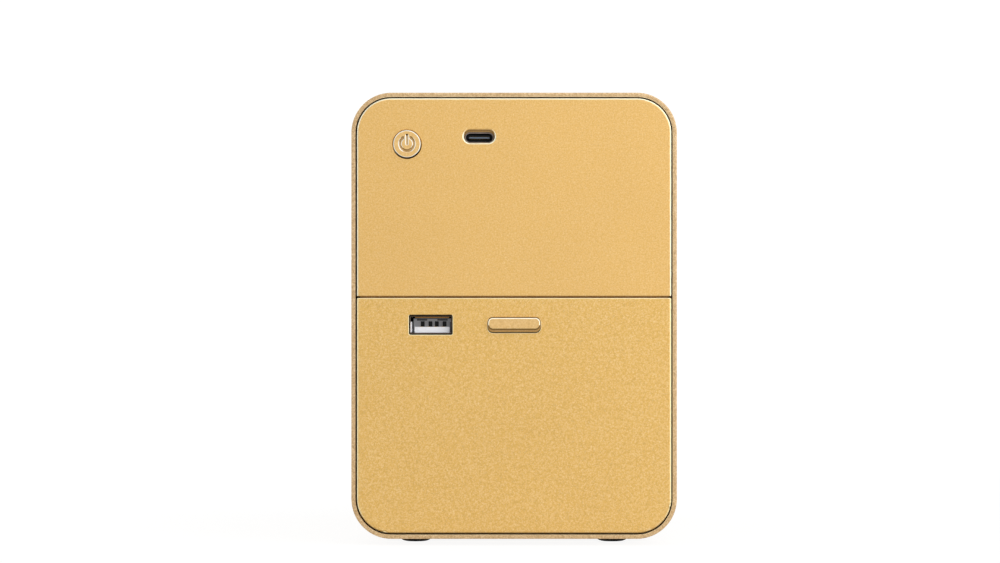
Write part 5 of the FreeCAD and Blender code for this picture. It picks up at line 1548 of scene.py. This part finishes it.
@dataclass
class Sockets:
    """The power inlet and the data socket, with their contacts."""

    shell_ease: float = 0.07 * MM
    tip_ease: float = 0.16 * MM
    tongue_ease: float = 0.12 * MM
    fine_pitch: float = 0.5 * MM
    fine_pad: Point = (0.25 * MM, 3.4 * MM, 0.05 * MM)
    fine_rise: float = 0.36 * MM        # the inlet's contacts lie this far above and below its middle
    coarse_pitch: float = 2.25 * MM
    coarse_pad: Point = (1.0 * MM, 3.0 * MM, 0.12 * MM)
    coarse_rise: float = 1.85 * MM      # the data contacts lie this far above the tongue's foot
    block_front: float = 71.6 * MM      # the data socket's back block ends here
    keyhole: Point = (3.2 * MM, 0.3 * MM, 0.5 * MM)
    keyhole_pitch: float = 6.3 * MM
    leaf: Point = (0.4 * MM, 4.4 * MM, 3.2 * MM)
    spring: Point = (10.4 * MM, 2.4 * MM, 0.2 * MM)
    sheet: float = 0.3 * MM

    def build(self, bench: Bench) -> None:
        """Builds both sockets.

        Args:
            bench: where the pieces are made.
        """
        self.power_inlet(bench)
        self.data_socket(bench)
        bench.dress(Palette.BOARD, "usb_a_board")

    def power_inlet(self, bench: Bench) -> None:
        """Builds the small inlet with a contact row on each side of its tongue.

        Args:
            bench: where the pieces are made.
        """
        # The inlet's shell in painted shade, with a faint painted highlight on its lip.
        bench.ease("usb_c_shell", Palette.SHADED_RIM, self.shell_ease, self.lip_mark, tight=False, whole=False)
        bench.ease("usb_c_tongue", Palette.SOCKET_BLACK, self.tip_ease, self.tip_mark, tight=False)
        tongue, shell = node_box("usb_c_tongue"), node_box("usb_c_shell")
        for name, side in (("upper", 1), ("lower", -1)):
            spot = (tongue.middle.x, tongue.high.y - 2.4 * MM, shell.middle.z + side * self.fine_rise)
            bench.row(f"power_contacts_{name}", Palette.GILT, "usb_c_tongue", spot, self.fine_pad, 12,
                      self.fine_pitch, "nozzle_gold")

    def data_socket(self, bench: Bench) -> None:
        """Builds the wide socket: its shell, insert, contacts, side springs and keyholes.

        Args:
            bench: where the pieces are made.
        """
        # The data socket's shell in painted shade, with a painted highlight on its inner edge.
        bench.ease("usb_a_shell", Palette.SHADED_STEEL, self.shell_ease, self.mouth_mark)
        # The white insert glows with painted light, and painted shade makes its block grey and its slots
        # black.
        bench.ease("usb_a_tongue", Palette.SOCKET_WHITE, self.tongue_ease, self.insert_mark)
        tongue, shell = node_box("usb_a_tongue"), node_box("usb_a_shell")
        spot = (tongue.middle.x, tongue.high.y - 2.0 * MM, tongue.low.z + self.coarse_rise)
        bench.row("data_contacts", Palette.GILT, "usb_a_tongue", spot, self.coarse_pad, 4,
                  self.coarse_pitch, "nozzle_gold")
        spot = (tongue.middle.x, self.block_front - 0.1 * MM, tongue.high.z - 0.4 * MM)
        bench.row("data_keyholes", Palette.SOCKET_BLACK, "usb_a_tongue", spot, self.keyhole, 2,
                  self.keyhole_pitch, "component_black")
        spot = (tongue.middle.x, shell.high.y - 2.0 * MM, tongue.high.z + 0.36 * MM)
        bench.row("data_top_spring", Palette.BRONZE, "usb_a_shell", spot, self.spring)
        # The near side spring is steel in painted shade, and the far one white plastic standing for a painted
        # reflection.
        inset = self.sheet + self.leaf[0] / 2
        for name, finish, x in (("near", Palette.SHADED_STEEL, shell.low.x + inset),
                                ("far", Palette.SOCKET_WHITE, shell.high.x - inset)):
            spot = (x, shell.high.y - 2.6 * MM, tongue.low.z + 1.8 * MM)
            bench.row(f"data_side_spring_{name}", finish, "usb_a_shell", spot, self.leaf)

    @staticmethod
    def lip_mark(face: Face) -> float:
        """Marks the inlet's lip with a faint painted highlight, and the walls behind it with painted shade.
        """
        return 0.4 if face.eased else 0.1 if face.normal.y > 0.9 else -1.0

    @staticmethod
    def tip_mark(face: Face) -> float:
        """Marks the flat end of the inlet's tongue with a painted highlight."""
        return float(face.normal.y > 0.96 and face.spot.y > node_box("usb_c_tongue").high.y - 0.1 * MM)

    @staticmethod
    def mouth_mark(face: Face) -> float:
        """Marks the data socket's front with painted shade, and its inner edge with a painted highlight."""
        return 1.0 if face.eased else -float(face.normal.y > 0.9)

    def insert_mark(self, face: Face) -> float:
        """Marks the data socket's insert: a white tongue before a block that painted shade makes grey, with
        slots that painted shade makes black.

        Args:
            face: the face.

        Returns:
            The mark.
        """
        if face.spot.y > self.block_front + self.tongue_ease / 5:
            return float(face.eased)
        return -0.7 if face.spot.y > self.block_front - self.tongue_ease else -1.0


@dataclass
class Feet:
    """The four domed rubber feet."""

    flat: float = 2.6 * MM
    dome: float = 1.3 * MM
    lip: float = 0.12 * MM
    arc_steps: int = 8
    sides: int = 40

    def build(self, bench: Bench) -> None:
        """Turns one foot and sets it under each corner.

        Args:
            bench: where the pieces are made.
        """
        spots = bench.islands("rubber_feet")
        radius, height = spots[0].size.x / 2, spots[0].size.z
        run = radius - self.flat
        curve = (run ** 2 + self.dome ** 2) / (2 * self.dome)
        profile = [(0.0, 0.0), (self.flat, 0.0)]
        for step in range(1, self.arc_steps + 1):
            turn = math.asin(run / curve) * step / self.arc_steps
            profile.append((self.flat + curve * math.sin(turn), curve * (1 - math.cos(turn))))
        profile += [(radius, height - self.lip), (radius - self.lip, height), (0.0, height)]
        mesh = bench.copies(Palette.FOOT, lathe(profile, self.sides), upright(spots))
        bench.place("domed_feet", mesh, Palette.FOOT, "rubber_feet", ("rubber_feet",))


@dataclass
class FingerPort:
    """The lined port where the finger lies."""

    liner_ease: float = 0.25 * MM
    pad_ease: float = 0.5 * MM

    def build(self, bench: Bench) -> None:
        """Builds the well, the saddle and its soft pad.

        Args:
            bench: where the pieces are made.
        """
        bench.ease("finger_well", Palette.LINER, self.liner_ease)
        bench.ease("finger_rest", Palette.LINER, self.liner_ease)
        bench.ease("finger_pad", Palette.PAD, self.pad_ease, steps=3)


@dataclass
class Chassis:
    """The frame inside the sleeve, and the door's hinge and latch."""

    wall_ease: float = 0.25 * MM
    pin_ease: float = 0.15 * MM
    wire: float = 0.22 * MM
    spring_turns: float = 3.2

    def build(self, bench: Bench) -> None:
        """Builds the tray, the bulkheads, the deck and the latch.

        Args:
            bench: where the pieces are made.
        """
        for node in ("base_tray", "front_bulkhead", "rear_bulkhead", "board_deck"):
            bench.ease(node, Palette.FRAME, self.wall_ease)
        bench.ease("latch_lever", Palette.ENGINE, self.wall_ease)
        # The keeper is steel in painted shade, since it shows through the seam.
        bench.ease("latch_keeper", Palette.SHADED_STEEL, self.pin_ease / 2)
        for node in ("door_hinge_pins", "latch_pivot_pin"):
            bench.ease(node, Palette.GROUND, self.pin_ease)
        box = node_box("latch_spring")
        radius = box.size.z / 2 - self.wire
        sizes = {"Turns": self.spring_turns, "Coil radius": radius, "Rise": box.size.x - 2 * self.wire,
                 "Wire radius": self.wire}
        mesh = bench.grown(Patterns.coil(), Palette.SPRING, sizes)
        mesh.transform(Matrix.Rotation(math.pi / 2, 4, "Y"))
        mesh.transform(Matrix.Translation((box.low.x + self.wire, box.middle.y, box.middle.z)))
        bench.place("latch_coil", mesh, Palette.SPRING, "latch_spring", ("latch_spring",))


@dataclass
class PrintEngine:
    """The gantry, the feed, the head and its cartridge."""

    part_ease: float = 0.3 * MM
    small_ease: float = 0.15 * MM
    thread_turns: float = 28.0
    thread_length: float = 112.0 * MM
    thread_core: float = 1.55 * MM
    ridge: float = 1.9 * MM
    belt_thick: float = 0.5 * MM
    tooth_pitch: float = 1.6 * MM
    tooth: tuple[float, float] = (0.8 * MM, 0.34 * MM)
    journal: float = 1.6 * MM
    chamfer: float = 0.2 * MM
    nozzles: int = 28
    nozzle: Point = (0.2 * MM, 0.2 * MM, 0.03 * MM)
    nozzle_pitch: float = 0.42 * MM
    row_offset: float = 1.0 * MM

    def build(self, bench: Bench) -> None:
        """Builds the moving pieces.

        Args:
            bench: where the pieces are made.
        """
        for node in ("gantry_frame", "head_carriage", "belt_clip", "x_drive_pulley", "x_idler_pulley",
                     "cartridge_latch"):
            width = self.part_ease if node in ("gantry_frame", "head_carriage") else self.small_ease
            bench.ease(node, Palette.ENGINE, width)
        bench.ease("ink_cartridge", Palette.CARTRIDGE, self.part_ease)
        bench.ease("x_motor", Palette.CAN, self.part_ease)
        bench.ease("y_motor", Palette.CAN, self.part_ease)
        for node in ("y_guide_rods", "x_guide_rods"):
            bench.ease(node, Palette.GROUND, self.part_ease)
        bench.dress(Palette.BRONZE, "gantry_bushes", "carriage_bushes", "lead_nut")
        self.feed_screw(bench)
        self.belt(bench)
        self.nozzle_rows(bench)

    def feed_screw(self, bench: Bench) -> None:
        """Builds the threaded screw between its two journals.

        Args:
            bench: where the pieces are made.
        """
        box = node_box("lead_screw")
        radius = box.size.x / 2
        sizes = {"Turns": self.thread_turns, "Length": self.thread_length, "Core radius": self.thread_core,
                 "Crest radius": radius, "Ridge width": self.ridge}
        thread = bench.grown(Patterns.thread(), Palette.GROUND, sizes)
        ends = []
        for start, end in ((box.low.y, -self.thread_length / 2), (self.thread_length / 2, box.high.y)):
            tip = self.journal - self.chamfer
            ends.append(lathe([(0, start), (tip, start), (self.journal, start + self.chamfer),
                               (self.journal, end - self.chamfer), (tip, end), (0, end)], 28))
        thread.transform(Matrix.Translation((0, 0, -self.thread_length / 2)))
        mesh = joined([thread, *ends])
        mesh.transform(Matrix.Rotation(-math.pi / 2, 4, "X"))
        mesh.transform(Matrix.Translation((box.middle.x, 0, box.middle.z)))
        mesh.set_sharp_from_angle(angle=CREASE)
        bench.place("feed_screw_thread", mesh, Palette.GROUND, "lead_screw", ("lead_screw",))

    def belt(self, bench: Bench) -> None:
        """Builds the toothed belt round both pulleys.

        Args:
            bench: where the pieces are made.
        """
        box = node_box("x_belt")
        sizes = {"Outside length": box.size.x, "Outside width": box.size.y, "Thickness": self.belt_thick,
                 "Depth": box.size.z, "Tooth pitch": self.tooth_pitch,
                 "Tooth size": (*self.tooth, box.size.z - 0.1 * MM), "Centre": tuple(box.middle)}
        mesh = bench.grown(Patterns.belt(), Palette.BELT, sizes)
        bench.place("toothed_belt", mesh, Palette.BELT, "x_belt", ("x_belt",))

    def nozzle_rows(self, bench: Bench) -> None:
        """Builds the two rows of nozzles under the plate.

        Args:
            bench: where the pieces are made.
        """
        bench.dress(Palette.GILT, "nozzle_plate")
        box = node_box("nozzle_plate")
        for name, side in (("front", -1), ("rear", 1)):
            spot = (box.middle.x, box.middle.y + side * self.row_offset, box.low.z + 0.01 * MM)
            bench.row(f"nozzle_row_{name}", Palette.CHIP, "nozzle_plate", spot, self.nozzle, self.nozzles,
                      self.nozzle_pitch, "component_black")


@dataclass
class ServiceStation:
    """The capping sled, its spring and the wiper."""

    ease: float = 0.25 * MM
    wire: float = 0.4 * MM
    turns: float = 6.9

    def build(self, bench: Bench) -> None:
        """Builds the station under the parked head.

        Args:
            bench: where the pieces are made.
        """
        bench.ease("cap_base", Palette.FRAME, self.ease)
        bench.ease("cap_sled", Palette.FRAME, self.ease)
        bench.ease("cap_seal", Palette.SEAL, self.ease)
        bench.ease("wiper_blade", Palette.SEAL, self.ease / 2)
        box = node_box("cap_spring")
        sizes = {"Turns": self.turns, "Coil radius": box.size.x / 2 - self.wire,
                 "Rise": box.size.z - 2 * self.wire, "Wire radius": self.wire}
        mesh = bench.grown(Patterns.coil(), Palette.SPRING, sizes)
        mesh.transform(Matrix.Translation((box.middle.x, box.middle.y, box.low.z + self.wire)))
        piece = bench.place("cap_coil", mesh, Palette.SPRING, "cap_spring", ("cap_spring",), ride=False)
        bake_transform(piece)


@dataclass
class Electronics:
    """The boards, what stands on them, the camera and its lamps, and the head's cable."""

    board_ease: float = 0.12 * MM
    chip_heights: tuple[float, float] = (0.7 * MM, 1.3 * MM)   # a chip of this height has legs
    leg: Point = (0.3 * MM, 1.0 * MM, 0.25 * MM)
    leg_pitch: float = 0.5 * MM
    cable_route: tuple[tuple[float, float], ...] = (
        (8.7, 60.0), (8.7, 92.0), (20.0, 92.0), (20.0, 97.4), (-12.0, 97.4), (-12.0, 108.7), (-7.5, 108.7))
    cable_split: int = 1
    cable_bend: float = 2.4
    cable_thick: float = 0.15 * MM
    cable_clamp: float = 14.35         # the Y of its clamp on the gantry
    lamps: int = 8
    lamp_ring: float = 11.4 * MM
    lamp_radius: float = 1.1 * MM
    lamp_depth: float = 0.5 * MM
    glass: float = 2.7 * MM

    def build(self, bench: Bench) -> None:
        """Builds the boards, the camera and the flat cable.

        Args:
            bench: where the pieces are made.
        """
        for node in ("main_board", "io_board"):
            bench.ease(node, Palette.BOARD, self.board_ease)
        bench.ease("board_components", Palette.CHIP, self.board_ease)
        self.chip_legs(bench)
        bench.ease("camera_module", Palette.CAMERA, self.board_ease * 2)
        bench.ease("light_ring", Palette.LAMP_BOARD, self.board_ease)
        self.camera_glass(bench)
        self.lamp_domes(bench)
        self.cable(bench)

    def chip_legs(self, bench: Bench) -> None:
        """Builds the rows of legs along the flat chips.

        Args:
            bench: where the pieces are made.
        """
        top = node_box("main_board").high.z
        low, high = self.chip_heights
        flat = [b for b in bench.islands("board_components") if low < b.size.z < high]
        for number, chip in enumerate(flat):
            for name, side in (("near", -1), ("far", 1)):
                out = chip.size.y / 2 + 0.4 * MM
                spot = (chip.middle.x, chip.middle.y + side * out, top + 0.15 * MM)
                bench.row(f"chip_{number}_legs_{name}", Palette.SHELL, "board_components", spot, self.leg, 12,
                          self.leg_pitch, "socket_shell")

    def camera_glass(self, bench: Bench) -> None:
        """Builds the domed front glass of the camera, which looks down.

        Args:
            bench: where the pieces are made.
        """
        box = node_box("camera_module")
        radius = self.glass
        profile = [(0.0, 0.0), (radius * 0.5, 0.06 * MM), (radius * 0.85, 0.2 * MM), (radius, 0.36 * MM),
                   (radius, 0.6 * MM), (0.0, 0.6 * MM)]
        mesh = lathe(profile, 36)
        bench.mark_faces(mesh, self.coating_reflection_mark)
        mesh.transform(Matrix.Translation((box.middle.x, box.middle.y, box.low.z)))
        bench.place("camera_glass", mesh, Palette.LENS, "camera_module")

    def coating_reflection_mark(self, face: Face) -> float:
        """Marks the outer ring of the glass, where the coating's painted reflection shows."""
        return float(math.hypot(face.spot.x, face.spot.y) > self.glass * 0.55)

    def lamp_domes(self, bench: Bench) -> None:
        """Builds the lens of each lamp round the camera.

        Args:
            bench: where the pieces are made.
        """
        box = node_box("light_ring")
        wide, deep = self.lamp_radius, self.lamp_depth
        dome = [(wide * math.sin(t), -deep * math.cos(t)) for t in (0.4, 0.8, 1.2, math.pi / 2)]
        profile = [(0.0, -deep), *dome, (wide, 0.2 * MM), (0.0, 0.2 * MM)]
        marks = []
        for step in range(self.lamps):
            turn = 2 * math.pi * step / self.lamps
            spot = Vector((self.lamp_ring * math.cos(turn), box.middle.y + self.lamp_ring * math.sin(turn),
                           box.low.z + deep))
            marks.append((spot, Vector((0, 0, 1))))
        mesh = bench.copies(Palette.LAMP, lathe(profile, 14), marks)
        bench.place("lamp_lenses", mesh, Palette.LAMP, "light_ring")

    def route(self, corners: list[tuple[float, float]]) -> list[tuple[float, float]]:
        """Rounds the corners of the cable's route.

        Args:
            corners: points of Y and Z, in millimetres.

        Returns:
            The route with its bends as arcs.
        """
        path = [corners[0]]
        for before, corner, after in zip(corners, corners[1:], corners[2:]):
            spot = Vector(corner)
            inward = (Vector(before) - spot).normalized() * self.cable_bend
            onward = (Vector(after) - spot).normalized() * self.cable_bend
            centre = spot + inward + onward
            for step in range(9):
                turn = math.radians(90 * step / 8)
                path.append(tuple(centre - onward * math.cos(turn) - inward * math.sin(turn)))
        path.append(corners[-1])
        return path

    def strip(self, name: str, path: list[tuple[float, float]]) -> Piece:
        """Builds a flat strip along a route, with a UV map across and along it.

        Args:
            name: the piece's name.
            path: points of Y and Z, in millimetres.

        Returns:
            The strip as an object.
        """
        box = node_box("head_ribbon")
        shape = bmesh.new()
        layer = shape.loops.layers.uv.new("UVMap")
        rings, run = [], 0.0
        for index, (y, z) in enumerate(path):
            back = Vector(path[max(index - 1, 0)])
            ahead = Vector(path[min(index + 1, len(path) - 1)])
            way = (ahead - back).normalized()
            across = Vector((0, -way.y, way.x)) * self.cable_thick
            spot = Vector((0, y * MM, z * MM))
            run += (Vector((y, z)) - Vector(path[max(index - 1, 0)])).length
            corners = [spot + across, spot - across]
            ring = [shape.verts.new((box.low.x, c.y, c.z)) for c in corners]
            ring += [shape.verts.new((box.high.x, c.y, c.z)) for c in reversed(corners)]
            rings.append((ring, run))
        for (low, start), (high, end) in zip(rings, rings[1:]):
            for side in range(4):
                after = (side + 1) % 4
                face = shape.faces.new([low[side], low[after], high[after], high[side]])
                for loop in face.loops:
                    across_share = (loop.vert.co.x - box.low.x) / box.size.x
                    loop[layer].uv = (across_share, (start if loop.vert in low else end) / 14)
        shape.faces.new(rings[0][0])
        shape.faces.new(rings[-1][0])
        mesh = closed(shape, name)
        mesh.set_sharp_from_angle(angle=CREASE)
        mesh.materials.append(Palette.FILM.value.material())
        piece = Bench.show(name, mesh)
        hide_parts("head_ribbon")
        return piece

    def cable(self, bench: Bench) -> None:
        """Builds the flat cable in two lengths, clamped where they meet on the gantry.

        Args:
            bench: where the pieces are made.
        """
        corners = list(self.cable_route)
        clamp = (self.cable_clamp, corners[self.cable_split][1])
        low = self.strip("head_cable_lower", self.route(corners[:self.cable_split + 1] + [clamp]))
        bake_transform(low)
        high = self.strip("head_cable_upper", self.route([clamp] + corners[self.cable_split + 1:]))
        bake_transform(high)
        bench.count += 2


@dataclass
class Fasteners:
    """The screws, each kind as one set of copies."""

    shank: float = 1.1 * MM
    head: float = 2.1 * MM
    head_height: float = 1.5 * MM
    thread_pitch: float = 0.5 * MM
    thread_depth: float = 0.16 * MM
    recess: Point = (0.55 * MM, 2.1 * MM, 1.5 * MM)
    flat_recess: Point = (0.6 * MM, 2.4 * MM, 1.6 * MM)
    sides: int = 20

    def screw(self, length: float) -> Mesh:
        """Turns one pan-head screw, with its shank along Z and its head below the origin.

        Args:
            length: the shank's length.

        Returns:
            The mesh.
        """
        dome = [(self.head * math.sin(t), -self.head_height + 0.55 * MM * (1 - math.cos(t)))
                for t in (0.35, 0.7, 1.05, 1.4)]
        profile = [(0.0, -self.head_height), *dome, (self.head, -0.75 * MM), (self.head, -0.15 * MM),
                   (self.head - 0.12 * MM, 0.0), (self.shank, 0.0)]
        root = self.shank - self.thread_depth
        turns = int((length - 0.8 * MM) / self.thread_pitch)
        for turn in range(turns):
            foot = 0.2 * MM + turn * self.thread_pitch
            profile += [(root, foot), (self.shank, foot + self.thread_pitch / 2)]
        profile += [(root, length - 0.5 * MM), (0.45 * MM, length), (0.0, length)]
        return lathe(profile, self.sides)

    def build(self, bench: Bench) -> None:
        """Sets the screws where the frame has them.

        Args:
            bench: where the pieces are made.
        """
        self.set("casing_screws", bench, 11)
        self.set("board_screws", bench, 5)
        self.countersunk(bench)

    def set(self, node: str, bench: Bench, seed: int) -> None:
        """Replaces one group of pan-head screws.

        Args:
            node: the group's name.
            bench: where the pieces are made.
            seed: what the chance turns start from.
        """
        lots: dict[float, list] = {}
        for box in bench.islands(node):
            run = max(range(3), key=lambda i: box.size[i])
            way = Vector([float(i == run) for i in range(3)])
            head_low = self.head_at_low(bench, node, box, run)
            start = Vector(box.middle)
            start[run] = box.low[run] + self.head_height if head_low else box.high[run] - self.head_height
            length = round(box.size[run] - self.head_height, 5)
            lots.setdefault(length, []).append((start, way if head_low else -way))
        meshes = []
        for length, marks in sorted(lots.items()):
            meshes.append(bench.copies(Palette.SCREW, self.screw(length), marks, self.recess,
                                       (0, 0, -self.head_height), math.pi, seed))
        bench.place(node + "_cross_headed", joined(meshes), Palette.SCREW, node, (node,))

    @staticmethod
    def head_at_low(bench: Bench, node: str, box: Box, run: int) -> bool:
        """Says at which end of a screw its head is, by where its widest points lie.

        Args:
            bench: where the solids are.
            node: the group's name.
            box: the screw's box.
            run: the axis that it runs along.

        Returns:
            Whether the head is at the low end.
        """
        across = (run + 1) % 3
        wide = []
        for corner in bench.nodes[node].data.vertices:
            inside = all(box.low[i] - 1e-6 <= corner.co[i] <= box.high[i] + 1e-6 for i in range(3))
            if inside and abs(corner.co[across] - box.high[across]) < 0.05 * MM:
                wide.append(corner.co[run])
        return sum(wide) / len(wide) < box.middle[run]

    def countersunk(self, bench: Bench) -> None:
        """Replaces the flat-headed screws under the feet.

        Args:
            bench: where the pieces are made.
        """
        spots = bench.islands("chassis_screws")
        length = spots[0].size.z
        root = 1.2 * MM
        profile = [(0.0, 0.0), (2.3 * MM, 0.0), (2.3 * MM, 0.1 * MM), (root, 1.2 * MM)]
        for turn in range(10):
            foot = 1.6 * MM + turn * self.thread_pitch
            profile += [(root - self.thread_depth, foot), (root, foot + self.thread_pitch / 2)]
        profile += [(root - self.thread_depth, length - 0.5 * MM), (0.5 * MM, length), (0.0, length)]
        mesh = bench.copies(Palette.SCREW, lathe(profile, self.sides), upright(spots), self.flat_recess,
                            (0, 0, 0), math.pi, 3)
        bench.place("chassis_screws_cross_headed", mesh, Palette.SCREW, "chassis_screws", ("chassis_screws",))


# ---- the studio

@dataclass(frozen=True)
class Softbox:
    """One area lamp that is aimed at the object."""

    name: str
    place: Point
    size: tuple[float, float]
    watts: float

    def light(self, target: Vector) -> None:
        """Hangs the lamp.

        Args:
            target: the point that it faces.
        """
        data = bpy.data.lights.new(self.name, "AREA")
        data.shape, data.size, data.size_y = "RECTANGLE", self.size[0], self.size[1]
        data.energy = self.watts
        lamp = bpy.data.objects.new(self.name, data)
        lamp.location = self.place
        lamp.rotation_euler = (target - Vector(self.place)).to_track_quat("-Z", "Y").to_euler()
        lamp.visible_camera = False
        bpy.context.scene.collection.objects.link(lamp)


@dataclass
class Studio:
    """The pale floor, the soft light and the camera."""

    distance: float = 1.2              # from the covers' plane to the camera
    covers: float = 0.0788
    aside: float = 4.34 * MM
    height: float = 81.0 * MM
    lens: float = 140.77
    sensor: float = 36.0
    floor_half: float = 3.0
    ambient: float = 0.35
    white: float = 1.04
    floor_lift: float = 0.88
    shadow_reach: float = 0.5
    aim: Point = (0.0, 0.0, 0.07)
    boxes: tuple[Softbox, ...] = (
        Softbox("key", (-0.45, 0.5, 0.34), (0.6, 0.6), 2.6),
        Softbox("fill", (0.95, 1.1, 0.45), (0.8, 0.9), 0.1),
        Softbox("overhead", (-0.1, 0.35, 0.95), (1.0, 0.8), 2.7),
        Softbox("left strip", (0.95, 0.11, 0.2), (0.3, 1.1), 2.2),
        Softbox("right strip", (-0.95, 0.05, 0.2), (0.3, 1.1), 1.4),
        Softbox("front key", (0.85, -1.15, 0.75), (0.9, 0.9), 5.5),
        Softbox("front fill", (-0.95, -1.0, 0.45), (0.8, 0.9), 1.6),
    )

    def build(self) -> None:
        """Sets the floor, the world, the lamps, the camera and the view."""
        scene = bpy.context.scene
        scene.view_settings.view_transform = "Standard"
        self.floor()
        self.world(scene)
        for box in self.boxes:
            box.light(Vector(self.aim))
        data = bpy.data.cameras.new("camera")
        data.lens, data.sensor_width = self.lens, self.sensor
        data.clip_start, data.clip_end = 0.01, 20.0
        camera = bpy.data.objects.new("camera", data)
        camera.location = (self.aside, self.covers + self.distance, self.height)
        camera.rotation_euler = (math.pi / 2, 0, math.pi)
        scene.collection.objects.link(camera)
        scene.camera = camera

    @staticmethod
    def seen(graph: Graph) -> Socket:
        """Tells what the camera sees, directly, in a gloss or through glass, from what only lights.

        Args:
            graph: the graph of the floor or the world.

        Returns:
            The socket, which gives 1 for what is seen.
        """
        path = graph.add("ShaderNodeLightPath").outputs
        gloss = graph.calc("MAXIMUM", path["Is Glossy Ray"], path["Is Transmission Ray"])
        return graph.calc("MAXIMUM", path["Is Camera Ray"], gloss)

    def floor(self) -> None:
        """Lays the pale floor, which keeps a soft shadow."""
        half, drop = self.floor_half, -0.02 * MM
        mesh = bpy.data.meshes.new("floor")
        corners = [(-half, -half, drop), (half, -half, drop), (half, half, drop), (-half, half, drop)]
        mesh.from_pydata(corners, [], [(0, 1, 2, 3)])
        graph = MaterialGraph("pale floor")
        cloud = graph.noise(graph.place, 6.0, 3.0)
        graph.put("Base Color", graph.tint(cloud, linear((244, 244, 243)), linear((248, 248, 247))))
        graph.put("Roughness", 0.7)
        graph.put("Specular IOR Level", 0.2)
        glow = graph.add("ShaderNodeEmission", {"Color": (1, 1, 1, 1), "Strength": self.white})
        reach = graph.add("ShaderNodeVectorMath", {0: graph.place}, operation="LENGTH").outputs["Value"]
        lift = graph.ramp(reach, 0.1, self.shadow_reach, self.floor_lift, 1.0)
        share = graph.calc("MULTIPLY", self.seen(graph), lift)
        both = graph.add("ShaderNodeMixShader", {0: share, 1: graph.shader.outputs[0], 2: glow.outputs[0]})
        graph.wire(both.outputs[0], graph.exit.inputs["Surface"])
        mesh.materials.append(graph.material)
        Bench.show("floor", mesh)

    def world(self, scene: bpy.types.Scene) -> None:
        """Makes the white surroundings, dimmer where they light the object.

        Args:
            scene: the scene that they belong to.
        """
        world = bpy.data.worlds.new("white studio")
        scene.world = world
        world.use_nodes = True
        world.node_tree.nodes.clear()
        graph = Graph(world.node_tree)
        strength = graph.ramp(self.seen(graph), 0.0, 1.0, self.ambient, self.white)
        back = graph.add("ShaderNodeBackground", {"Color": (1, 1, 1, 1), "Strength": strength})
        graph.add("ShaderNodeOutputWorld", {"Surface": back.outputs[0]})


def main() -> None:
    """Builds every sub-assembly in order, then the studio."""
    logging.basicConfig(level=logging.INFO, format="%(name)s: %(message)s")
    bench = Bench(frame)
    for assembly in (Casing(), Controls(), Sockets(), Feet(), FingerPort(), Chassis(), PrintEngine(),
                     ServiceStation(), Electronics(), Fasteners()):
        before = bench.count
        assembly.build(bench)
        log.info("%s: %d pieces", type(assembly).__name__, bench.count - before)
    Studio().build()


if __name__ == "__main__":
    main()
